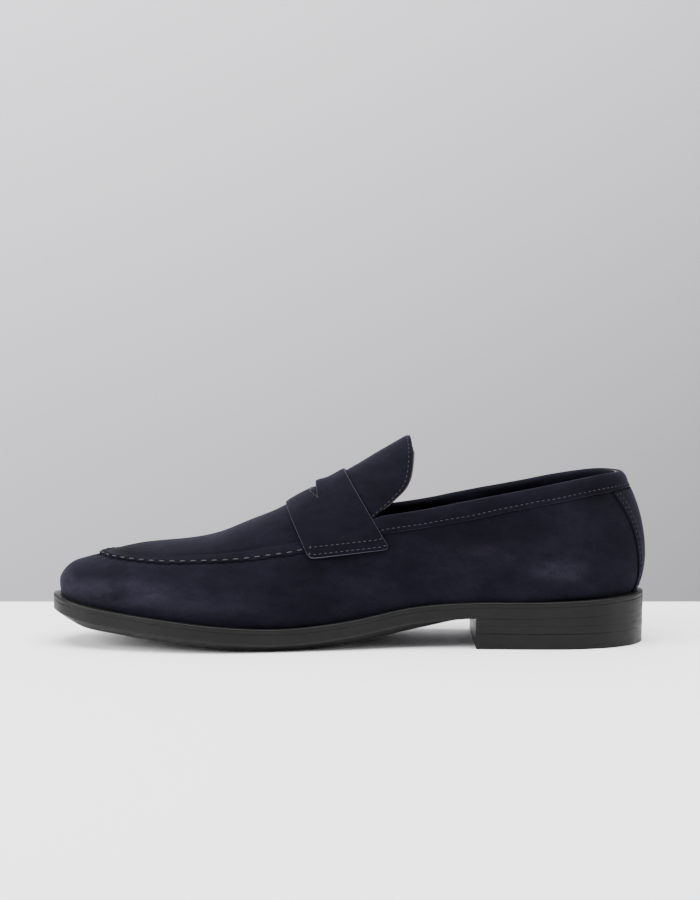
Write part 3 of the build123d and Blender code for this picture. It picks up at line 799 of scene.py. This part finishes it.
# stitches: one tree of nodes for every row, which puts a rounded dash at each step along a line
def stitchTree():
    tree = bpy.data.node_groups.new("stitchRow", "GeometryNodeTree")
    face = tree.interface
    face.new_socket("Geometry", in_out="INPUT", socket_type="NodeSocketGeometry")
    for name in ("Pitch", "Dash", "Thread"):
        face.new_socket(name, in_out="INPUT", socket_type="NodeSocketFloat").min_value = 0.1 * mm
    face.new_socket("Material", in_out="INPUT", socket_type="NodeSocketMaterial")
    face.new_socket("Geometry", in_out="OUTPUT", socket_type="NodeSocketGeometry")
    add = tree.nodes.new
    start, end = add("NodeGroupInput"), add("NodeGroupOutput")
    curve, steps = add("GeometryNodeMeshToCurve"), add("GeometryNodeResampleCurve")
    steps.mode = "LENGTH"
    ball, shaped = add("GeometryNodeMeshUVSphere"), add("GeometryNodeTransform")
    ball.inputs["Segments"].default_value, ball.inputs["Rings"].default_value = 8, 6
    ball.inputs["Radius"].default_value = 0.5
    size, tangent = add("ShaderNodeCombineXYZ"), add("GeometryNodeInputTangent")
    turned, dashes = add("FunctionNodeAlignRotationToVector"), add("GeometryNodeInstanceOnPoints")
    turned.axis = "X"
    real, soft = add("GeometryNodeRealizeInstances"), add("GeometryNodeSetShadeSmooth")
    paint = add("GeometryNodeSetMaterial")
    for source, output, target, entry in (
            (start, "Geometry", curve, "Mesh"), (curve, "Curve", steps, "Curve"), (start, "Pitch", steps, "Length"),
            (start, "Dash", size, "X"), (start, "Thread", size, "Y"), (start, "Thread", size, "Z"),
            (ball, "Mesh", shaped, "Geometry"), (size, "Vector", shaped, "Scale"),
            (tangent, "Tangent", turned, "Vector"), (steps, "Curve", dashes, "Points"),
            (shaped, "Geometry", dashes, "Instance"), (turned, "Rotation", dashes, "Rotation"),
            (dashes, "Instances", real, "Geometry"), (real, "Geometry", soft, "Geometry"),
            (soft, "Geometry", paint, "Geometry"), (start, "Material", paint, "Material"),
            (paint, "Geometry", end, "Geometry")):
        tree.links.new(source.outputs[output], target.inputs[entry])
    return tree


stitching = stitchTree()


def stitchRow(name, lines, material, stitch):
    points, edges = [], []
    for line in lines:
        start = len(points)
        points += [tuple(p) for p in line]
        edges += [(start + i, start + i + 1) for i in range(len(line) - 1)]
    mesh = bpy.data.meshes.new(name)
    mesh.from_pydata(points, edges, [])
    piece = placed(name, mesh)
    row = piece.modifiers.new("row", "NODES")
    row.node_group = stitching
    values = {"Pitch": stitch["pitch"], "Dash": stitch["dash"], "Thread": stitch["thread"], "Material": material}
    for item in stitching.interface.items_tree:
        if item.in_out == "INPUT" and item.name in values:
            row[item.identifier] = values[item.name]
    dressed(settled(piece), material, slot="backing_cloth")


seamLine = seamPoints + seamNormals * seamStitch["stand"] + up * seamStitch["rise"]
for _ in range(seamStitch["passes"]):
    # the thread is pulled straight over the small waves of the edge
    seamLine[1:-1] = (seamLine[:-2] + 2 * seamLine[1:-1] + seamLine[2:]) / 4
stitchRow("seamStitches", [seamLine], seamThreadMat, seamStitch)

# the strap: it runs over the instep from one lower edge to the other, round the penny slot
strap = {"shares": (0.0, 0.016, 0.034, 0.054, 0.08, 0.12, 0.17, 0.23, 0.30, 0.37, 0.44), "along": 62,
         "corner": 2.6 * mm, "wall": 1.45 * mm, "dip": 0.5 * mm, "rise": 1.6 * mm, "seen": (57 * mm, 66 * mm),
         "feet": (-12 * mm, 10 * mm), "middle": -6 * mm, "longer": 1.6 * mm, "lipFade": 4.5 * mm,
         "edgeFall": 0.25 * mm, "edgeFade": 1.3 * mm}


def across(tree, x, z):
    return hitFrom(tree, (x, -0.2, z), (0, 1, 0), 0.2) is not None


def lineThrough(first, second):
    slope = (second[1] - first[1]) / (second[0] - first[0])
    return lambda place: first[1] + slope * (place - first[0])


def strapSide(direction):
    found = []
    for z in strap["seen"]:
        reach = lastTrue(lambda d: across("strap", strap["middle"] + direction * d, z), 0.0, 0.05)
        found.append((z, strap["middle"] + direction * reach))
    return lineThrough(*found)


strapFront, strapRear = strapSide(-1), strapSide(1)


def strapFootAt(x):
    deep = lastTrue(lambda d: across("strap", x, 60 * mm - d), 0.0, 0.03)
    return x, 60 * mm - strap["longer"] - deep


strapFoot = lineThrough(*[strapFootAt(x) for x in strap["feet"]])


def slotSpan():
    # the penny slot on the ridge: how far it opens along and across
    xs = np.arange(-40 * mm, 5 * mm, 0.1 * mm)
    on = np.array([shoot("strap", spinePoint(x), up) is not None for x in xs])
    first, last = np.argmax(on), len(on) - 1 - np.argmax(on[::-1])
    gap = [x for x, there in zip(xs[first:last], on[first:last]) if not there]
    middle = (gap[0] + gap[-1]) / 2

    def gapAt(d):
        return dropOn("strap", middle, spineY(middle) + d) is None
    span = xs[last] - xs[first]
    return (gap[-1] - gap[0]) / 2, lastTrue(gapAt, 0.0, 0.03), (middle - xs[first]) / span, span


slotHalfX, slotHalfY, slotShare, ridgeSpan = slotSpan()
print("slot", slotHalfX, slotHalfY, slotShare, ridgeSpan)


def strapPoint(share, side, angle, spare=None):
    z, hit = 60 * mm, spare
    for _ in range(6):
        x = (1 - share) * strapFront(z) + share * strapRear(z)
        found = surely("upper", spinePoint(x), 0.0, side, angle)
        if found is None:
            return spare
        hit, z = found, found[2]
    return hit


def strapLow(share, side):
    def over(angle):
        hit = strapPoint(share, side, -angle)
        return hit is not None and hit[2] > strapFoot(hit[0])
    return -lastTrue(over, -1.0, -0.1, 16)


def strapShares(slotHalf):
    half = slotHalf / ridgeSpan
    first = [s / 0.5 * (slotShare - half) for s in strap["shares"]] + [slotShare - half]
    second = [1 - s / 0.5 * (1 - slotShare - half) for s in strap["shares"]] + [slotShare + half]
    return first + second[::-1]


def makeStrapGrid():
    plain = strapShares(0.0)
    lows = {}
    for side in (-1, 1):
        lows[side] = []
        for share in plain:
            fromEdge = min(share, 1 - share) * (strapRear(50 * mm) - strapFront(50 * mm))
            short = max(0.0, strap["corner"] - fromEdge)
            rise = strap["corner"] - math.sqrt(strap["corner"] ** 2 - short ** 2)
            lows[side].append(strapLow(share, side) + rise / (48 * mm))
    grid, slotSize = [], []
    steps = [(-1, w) for w in np.linspace(0, 1, strap["along"])]
    steps += [(1, w) for w in np.linspace(1, 0, strap["along"])[1:]]
    for side, w in steps:
        ridge = strapPoint(slotShare, side, max(lows[side]) + w * (math.pi / 2 - max(lows[side])))
        away = abs(ridge[1] - spineY(ridge[0]))
        opening = slotHalfX * max(0.0, 1 - (away / slotHalfY) ** 2)
        row = []
        for j, share in enumerate(strapShares(opening)):
            angle = lows[side][j] + w * (math.pi / 2 - lows[side][j])
            spare = grid[-1][j] if grid else (row[-1] if row else None)
            row.append(strapPoint(share, side, angle, spare))
        grid.append(row)
        slotSize.append(opening)
    return np.array(grid), np.array(slotSize)


strapGrid, slotOpen = makeStrapGrid()
half = strapGrid.shape[1] // 2
halves = (slice(0, half), slice(half, None))
strapGrid = np.concatenate([evened(strapGrid[:, part], 2, False) for part in halves], axis=1)
shut = slotOpen <= 0
middleLine = (strapGrid[:, half - 1] + strapGrid[:, half]) / 2
strapGrid[shut, half - 1] = middleLine[shut]
strapGrid[shut, half] = middleLine[shut]
strapNormals = np.concatenate([gridNormals(strapGrid[:, part], False) for part in halves], axis=1)
if np.mean(strapNormals[55:65, :, 2]) < 0:
    strapNormals = -strapNormals
joinNormal = strapNormals[:, half - 1] + strapNormals[:, half]
joinNormal /= np.linalg.norm(joinNormal, axis=1, keepdims=True)
strapNormals[shut, half - 1] = joinNormal[shut]
strapNormals[shut, half] = joinNormal[shut]
print("strap grid", strapGrid.shape)


def makeStrap():
    opened = slotOpen / slotHalfX
    count, size = strapGrid.shape[:2]
    lift = np.full((count, size), layers["strap"])
    for j in range(size):
        # the lips of the slot stand apart, and the cut edges lie down a little
        front = j < half
        toLip = np.linalg.norm(strapGrid[:, j] - strapGrid[:, half - 1 if front else half], axis=1)
        toEdge = np.linalg.norm(strapGrid[:, j] - strapGrid[:, 0 if front else size - 1], axis=1)
        lift[:, j] += (-strap["dip"] if front else strap["rise"]) * (bell(toLip, 0.0, strap["lipFade"]) * opened)
        lift[:, j] -= strap["edgeFall"] * bell(toEdge, 0.0, strap["edgeFade"])
    grid = strapGrid + strapNormals * lift[:, :, None]
    faces = [[i * size + j, (i + 1) * size + j, (i + 1) * size + j + 1, i * size + j + 1]
             for i in range(count - 1) for j in range(size - 1) if j != half - 1]
    mesh = bpy.data.meshes.new("strap")
    mesh.from_pydata(grid.reshape(-1, 3).tolist(), [], faces)
    shadeSmooth(mesh)
    mesh.update()
    if mesh.polygons[half].normal.dot(Vector(strapNormals[0, half])) < 0:
        mesh.flip_normals()
    piece = thickened(placed("strap", mesh), strap["wall"], (suedeMat, rawEdgeHighlightMat))
    dressed(piece, suedeMat, "strap")
    return grid


strapSurface = makeStrap()
strapStitch = {"pitch": 2.65 * mm, "dash": 1.7 * mm, "thread": 0.42 * mm, "rows": (1.9 * mm, 5.9 * mm),
               "stand": 0.08 * mm, "from": 0.035, "turn": 0.11, "to": 0.965}


def strapRow(height, side, first):
    # points on the strap this far above its lower edge
    surface, normals = strapSurface[::-side], strapNormals[::-side]
    line = np.array([alongColumn(surface[:, j], height) + strapStitch["stand"] * normals[4, j]
                     for j in range(surface.shape[1])])
    length = lengthAlong(line)
    return line[(length > first * length[-1]) & (length < strapStitch["to"] * length[-1])]


strapLines = []
for side in (-1, 1):
    lower = strapRow(strapStitch["rows"][0], side, strapStitch["from"])
    upper = strapRow(strapStitch["rows"][1], side, strapStitch["turn"])
    strapLines += [lower, upper, np.array([lower[0], upper[0]])]
stitchRow("strapStitches", strapLines, threadMat, strapStitch)

# the collar band: it is folded over the top edge of the quarters, all round the heel
band = {"outer": ((8.6, 0.25), (8.45, 0.75), (8.0, 1.05), (7.2, 1.12), (6.5, 0.85), (5.8, 1.15), (4.6, 1.45),
                  (3.0, 1.60), (1.6, 1.50), (0.5, 1.25)),
        "over": ((-0.5, 0.75), (-1.0, -0.1), (-1.2, -1.3), (-1.1, -2.6), (-0.6, -3.6), (0.3, -4.1), (2.5, -4.3),
                 (5.5, -4.25), (8.0, -4.1), (8.3, -3.6), (8.0, -3.1), (0.4, -3.05), (0.1, -1.5), (0.3, -0.05),
                 (4.5, 0.02))}
bandStitch = {"pitch": 2.7 * mm, "dash": 1.6 * mm, "thread": 0.40 * mm, "at": 6.5 * mm, "stand": 0.95 * mm}
firstFront, lastFront = frontIndex[0], frontIndex[-1]
rearOrder = [i % len(columns) for i in range(lastFront + 1, len(columns) + firstFront)]


def wallPoint(i, distance):
    # a point on the skirt's outside, this far under its top edge, and the direction outwards there
    line, normals = baseSkirt[i][::-1], baseNormals[i][::-1]
    length = lengthAlong(line)
    point, normal = valueAlong(line, length, distance), valueAlong(normals, length, distance)
    return point, normal / np.linalg.norm(normal)


def makeBand():
    rings, row = [], []
    for i in rearOrder:
        ring = []
        for down, out in band["outer"]:
            point, normal = wallPoint(i, down * mm)
            ring.append(point + out * mm * normal)
        top, _ = wallPoint(i, 0.0)
        lower, normal = wallPoint(i, 3 * mm)
        down = (lower - top) / np.linalg.norm(lower - top)
        ring += [top + d * mm * down + n * mm * normal for d, n in band["over"]]
        rings.append(ring)
        point, normal = wallPoint(i, bandStitch["at"])
        row.append(point + bandStitch["stand"] * normal)
    dressed(tubeMesh("collarBand", rolling(np.array(rings), 3, False), False), suedeMat, "collar_band")
    stitchRow("collarStitches", [rolling(np.array(row), 3, False)], threadMat, bandStitch)


makeBand()

# the backstay: a strip up the middle of the heel
backstay = {"flare": 0.20, "stand": 0.95 * mm, "rows": 44, "across": 15, "wall": 1.0 * mm,
            "ridge": (0.25 * mm, 2.4 * mm, 1.2 * mm), "groove": (0.15 * mm, 1.5 * mm, 0.5 * mm)}
backstayStitch = {"pitch": 2.7 * mm, "dash": 1.5 * mm, "thread": 0.36 * mm, "insets": (1.5 * mm, 3.6 * mm),
                  "stand": 0.1 * mm}


def backHit(y, z):
    return hitFrom("backstay", (0.3, y, z), (-1, 0, 0), 0.3)


def makeBackstay():
    middle = spine["heelY"]
    low = 50 * mm - lastTrue(lambda d: backHit(middle, 50 * mm - d) is not None, 0.0, 0.04)
    shares = np.sin(np.linspace(-1, 1, 2 * backstay["across"] + 1) * math.pi / 2)

    def halfWidth(z):
        return lastTrue(lambda d: backHit(middle - d, z) is not None, 0.0, 0.04)
    topWidth = halfWidth(75 * mm) * (1 + backstay["flare"])
    widthZs = np.linspace(low + 0.5 * mm, 76 * mm, 20)
    widths = rolling([halfWidth(z) for z in widthZs], 3, False)
    grid = []
    for share in shares:
        y = middle + share * topWidth
        clear = lambda z: hitFrom("collarBandTop", (0.3, y, z), (-1, 0, 0), 0.25) is None
        top = lastTrue(clear, 60 * mm, 0.1)
        line = []
        for v in np.linspace(0, 1, backstay["rows"]):
            z = low + 0.1 * mm + v * (top - low - 0.2 * mm)
            flare = 1 + backstay["flare"] * v ** 2
            out = flare * share * float(np.interp(z, widthZs, widths))
            hit = hitFrom("skirt", (0.3, middle + out, z), (-1, 0, 0), 0.3)
            line.append(hit if hit is not None else line[-1] + np.array([0, 0, 1 * mm]))
        grid.append(line)
    grid = evened(np.array(grid), 2, False)
    normals = gridNormals(grid, False)
    if np.mean(normals[:, :, 0]) < 0:
        normals = -normals
    rims = np.minimum(np.linalg.norm(grid - grid[:1], axis=2), np.linalg.norm(grid - grid[-1:], axis=2))
    ridge, ridgeAt, ridgeWidth = backstay["ridge"]
    groove, grooveAt, grooveWidth = backstay["groove"]
    lift = backstay["stand"] + ridge * bell(rims, ridgeAt, ridgeWidth) - groove * bell(rims, grooveAt, grooveWidth)
    grid = grid + normals * lift[:, :, None]
    piece = gridMesh("backstay", grid, False, normals)
    dressed(thickened(piece, backstay["wall"]), suedeMat, "backstay")
    lines = []
    for inset in backstayStitch["insets"]:
        for edge, out in ((grid, normals), (grid[::-1], normals[::-1])):
            lines.append(np.array([alongColumn(edge[:, k], inset) + backstayStitch["stand"] * out[2, k]
                                   for k in range(1, backstay["rows"] - 1)]))
    stitchRow("backstayStitches", lines, threadMat, backstayStitch)


makeBackstay()

# the tongue's lining
tongue = {"rows": 40, "under": 2.0 * mm, "wall": 0.9 * mm, "reach": 0.35 * mm}
tongueStitch = {"pitch": 2.6 * mm, "dash": 1.6 * mm, "thread": 0.38 * mm, "inset": 2.0 * mm, "stand": 0.15 * mm,
                "ends": 10}


def makeTongueLining():
    grid = baseApron[-tongue["rows"]:] - apronNormals[-tongue["rows"]:] * tongue["under"]
    ahead = grid[-1] - grid[-3]
    ahead /= np.linalg.norm(ahead, axis=1, keepdims=True)
    grid = np.concatenate([grid, (grid[-1] + tongue["reach"] * ahead)[None]], axis=0)
    piece = gridMesh("tongueLining", grid, False, apronNormals[-tongue["rows"]:])
    dressed(thickened(piece, tongue["wall"]), brownMat, "tongue_lining", slot="brown_lining")


makeTongueLining()
edgeRow = [alongColumn(baseApron[::-1, j], tongueStitch["inset"]) + tongueStitch["stand"] * apronNormals[-3, j]
           for j in range(tongueStitch["ends"], baseApron.shape[1] - tongueStitch["ends"])]
stitchRow("tongueStitches", [np.array(edgeRow)], threadMat, tongueStitch)

# the sole: welt and outsole follow the outline all round, and the heel's layers lie under them
sole = {"edgeDepth": 8.0 * mm, "underWelt": 4.2 * mm, "inner": (0.62, 0.4, 0.2, 0.0),
        "insets": (0.6, 1.2, 2.0, 3.0, 4.2, 5.4, 6.2, 7.5, 10.0, 14.0)}
heel = {"front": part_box("heel_top_piece")[0][0], "step": 0.15 * mm, "corner": 1.2 * mm}
# profiles in mm: out from the outline and down from the top of the sole
weltProfile = ((-12.0, 0.9), (-3.6, 0.05), (-0.95, 0.0), (-0.4, 0.10), (-0.12, 0.35), (0.0, 0.75), (0.0, 1.1),
               (0.0, 1.9), (0.0, 2.2), (-0.05, 2.35), (-0.16, 2.44), (-12.0, 2.44))
edgeTop = ((-12.0, 2.48), (-0.16, 2.48), (-0.05, 2.56), (0.0, 2.72), (0.0, 3.1))
sideProfile = edgeTop + ((0.0, 7.0), (0.0, 7.4), (-0.08, 7.75), (-0.25, 7.92))
flushProfile = edgeTop + ((0.0, 7.5), (0.0, 7.85), (-0.03, 7.93), (-0.1, 7.98))


def soleRing(i, profile):
    x, y, dx, dy = columns[i]
    ring = []
    flush = profile is sideProfile and x + soleReach[i] * dx > heel["front"]
    for out, down in (flushProfile if flush else profile):
        reach = soleReach[i] + out * mm
        ring.append((x + reach * dx, y + reach * dy, soleTop[i] - down * mm))
    return ring


def makeWelt():
    rings = [soleRing(i, weltProfile) for i in range(len(columns))]
    dressed(tubeMesh("welt", rings, True), soleMat, "welt", slot="sole_rubber")


def makeOutsole():
    rings = []
    for i, (x, y, dx, dy) in enumerate(columns):
        ring = soleRing(i, sideProfile)
        z = ring[-1][2]
        reaches = [soleReach[i] - inset * mm for inset in sole["insets"]]
        deepest = reaches[-1]
        reaches += [share * deepest for share in sole["inner"]]
        for reach in reaches:
            hit = hitFrom("outsole", (x + reach * dx, y + reach * dy, -0.1), up, 0.3)
            z = hit[2] if hit is not None and hit[2] < soleTop[i] - 4 * mm else z
            ring.append((x + reach * dx, y + reach * dy, z))
        # back up inside, at the level under the welt
        deep = soleTop[i] - sole["underWelt"]
        ring.append((x, y, max(deep, ring[-1][2] + 1 * mm)))
        ring.append((x + deepest * dx, y + deepest * dy, deep))
        rings.append(ring)
    dressed(tubeMesh("outsole", rings, True), soleMat, "outsole", slot="sole_rubber")


makeWelt()
makeOutsole()


def heelOutline(inset):
    # the outline of a heel layer seen from above: round the back, then straight across the breast
    points, tops = [], []
    for i in rearOrder:
        x, y, dx, dy = columns[i]
        reach = soleReach[i] - inset
        point = (x + reach * dx, y + reach * dy)
        if point[0] > heel["front"] + heel["corner"]:
            points.append(point)
            tops.append(soleTop[i])

    def corner(end, flip):
        side = -1 if end[1] < 0 else 1
        turn = [(heel["front"] + heel["corner"] * (1 - math.sin(a)), end[1] - side * heel["corner"] * (1 - math.cos(a)))
                for a in np.linspace(0, math.pi / 2, 5)]
        return turn[::-1] if flip else turn
    lead, tail = corner(points[0], True), corner(points[-1], False)
    a, b = tail[-1], lead[0]
    breast = [(a[0] + t * (b[0] - a[0]), a[1] + t * (b[1] - a[1])) for t in np.linspace(0, 1, 12)[1:-1]]
    line = lead + points + tail + breast
    heights = [tops[0]] * len(lead) + tops + [tops[-1]] * (len(tail) + len(breast))
    return np.array(line), np.array(heights)


def heelLayer(name, inset, low, high, node, material, slot, rounding=0.05 * mm):
    line, tops = heelOutline(inset)
    ahead = np.roll(line, -1, 0) - np.roll(line, 1, 0)
    outward = np.stack([ahead[:, 1], -ahead[:, 0]], axis=1)
    outward /= np.linalg.norm(outward, axis=1, keepdims=True)
    centre = line.mean(axis=0)
    if np.sum((line - centre) * outward) < 0:
        outward = -outward
    lows, highs = low(tops), high(tops)
    # each ring of points: how far in, how far above its face, and whether that is the upper face
    r, held = rounding, rounding + 0.35 * mm
    levels = ((2.2 * mm, 0.0, 0), (0.8 * r, 0.0, 0), (0.25 * r, 0.3 * r, 0), (0.0, r, 0), (0.0, held, 0),
              (0.0, -held, 1), (0.0, -r, 1), (0.25 * r, -0.3 * r, 1), (0.8 * r, 0.0, 1), (2.2 * mm, 0.0, 1))
    rings = []
    for pull, lift, isUpper in levels:
        flat = line - outward * pull
        z = (highs if isUpper else lows) + lift
        rings.append([(p[0], p[1], h) for p, h in zip(flat, z)])
    size = len(line)
    points = [p for ring in rings for p in ring]
    faces = ringFaces(len(rings), size, False)
    for ring, height in ((0, lows.mean()), (len(rings) - 1, highs.mean())):
        points.append((centre[0], centre[1], height))
        hub = len(points) - 1
        faces += [[ring * size + j, ring * size + (j + 1) % size, hub] for j in range(size)]
    dressed(closedMesh(name, points, faces), material, node, slot=slot)


def level(height):
    return lambda tops: np.full(len(tops), height)


def underSole(tops):
    return tops - sole["edgeDepth"]


lowBox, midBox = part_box("heel_top_piece"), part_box("heel_lift_lower")
heelLayer("heelTopPiece", 2 * heel["step"], level(0.0), level(lowBox[1][2] - 0.02 * mm), "heel_top_piece",
          heelMat, "heel_rubber", 0.16 * mm)
heelLayer("heelLiftLower", heel["step"], level(midBox[0][2]), level(midBox[1][2] - 0.02 * mm), "heel_lift_lower",
          soleMat, "sole_rubber")
heelLayer("heelLiftUpper", heel["step"], level(midBox[1][2]), underSole, "heel_lift_upper", soleMat, "sole_rubber")

# lights, floor, wall and camera
stage = {"floorBack": 127 * mm, "floorWidth": 4.0, "floorFront": 2.6, "wallBack": 1.2, "wallHeight": 3.0,
         "floorColor": (0.955, 0.945, 0.945), "wallPaintedShade": (0.31, 0.303, 0.320), "wallPaintedLight": (0.70, 0.685, 0.72)}
# each light's place, what it points at, its size and its power
lights = {"topSoft": ((0.05, -0.35, 1.5), (0, 0, 0), (1.7, 1.2), 62),
          "leftSoft": ((-1.3, -0.6, 0.7), (0, 0, 0.04), (0.8, 0.9), 34),
          "rightSoft": ((1.4, -0.3, 0.6), (0, 0, 0.04), (0.6, 0.8), 11),
          "wallWash": ((-0.2, 0.5, 1.6), (-0.1, 1.2, 0.5), (2.0, 0.5), 15)}
camera = {"distance": 1196 * mm, "height": 195.1 * mm, "tilt": 4.7, "lens": 94.1}


def stagePaint(name, dark, pale, slope, rough):
    # a paint that grows paler one way across the sheet; on the wall this is a painted falloff of light, paler towards
    # the upper left
    material, tree, shader = nodeMaterial(name)
    place = tree.nodes.new("ShaderNodeTexCoord").outputs["Object"]
    shift = tree.nodes.new("ShaderNodeMath")
    shift.operation = "ADD"
    shift.inputs[1].default_value = slope[3]
    tree.links.new(vectorOn(tree, "DOT_PRODUCT", place, slope[:3]), shift.inputs[0])
    ramp = rampOn(tree, shift.outputs[0], [(0.0, dark), (1.0, pale)])
    tree.links.new(ramp, shader.inputs["Base Color"])
    shader.inputs["Roughness"].default_value = rough
    return material


def stageSheet(name, corners, material):
    mesh = bpy.data.meshes.new(name)
    mesh.from_pydata(corners, [], [(0, 1, 2, 3)])
    mesh.materials.append(material)
    placed(name, mesh)


def areaLight(name, place, target, size, power):
    light = bpy.data.lights.new(name, "AREA")
    light.shape, light.size, light.size_y = "RECTANGLE", size[0], size[1]
    light.energy = power
    lamp = placed(name, light)
    lamp.location = place
    lamp.rotation_euler = (Vector(target) - Vector(place)).to_track_quat("-Z", "Y").to_euler()


def makeStage():
    half, back = stage["floorWidth"] / 2, stage["floorBack"]
    front, wall, high = -stage["floorFront"], stage["wallBack"], stage["wallHeight"]
    floorPaint = stagePaint("floorPaint", stage["floorColor"], stage["floorColor"], (0, 0, 0, 0.5), 0.75)
    # the wall's paint is painted light: paler to the upper left, darker to the lower right
    wallPaint = stagePaint("wallPaint", stage["wallPaintedShade"], stage["wallPaintedLight"], (-0.75, 0, 0.75, 0.42), 0.95)
    stageSheet("floor", [(-half, front, 0), (half, front, 0), (half, back, 0), (-half, back, 0)], floorPaint)
    stageSheet("wall", [(-half, wall, -0.6), (half, wall, -0.6), (half, wall, high), (-half, wall, high)], wallPaint)
    for name, light in lights.items():
        areaLight(name, *light)
    world = bpy.data.worlds.new("studio")
    world.use_nodes = True
    world.node_tree.nodes["Background"].inputs["Color"].default_value = (0.8, 0.82, 0.86, 1)
    world.node_tree.nodes["Background"].inputs["Strength"].default_value = 0.5
    bpy.context.scene.world = world
    view = bpy.data.cameras.new("view")
    view.lens, view.sensor_width = camera["lens"], 36
    eye = placed("view", view)
    eye.location = (0, -camera["distance"], camera["height"])
    eye.rotation_euler = (math.radians(90 - camera["tilt"]), 0, 0)
    bpy.context.scene.camera = eye
    print("stage set")


makeStage()
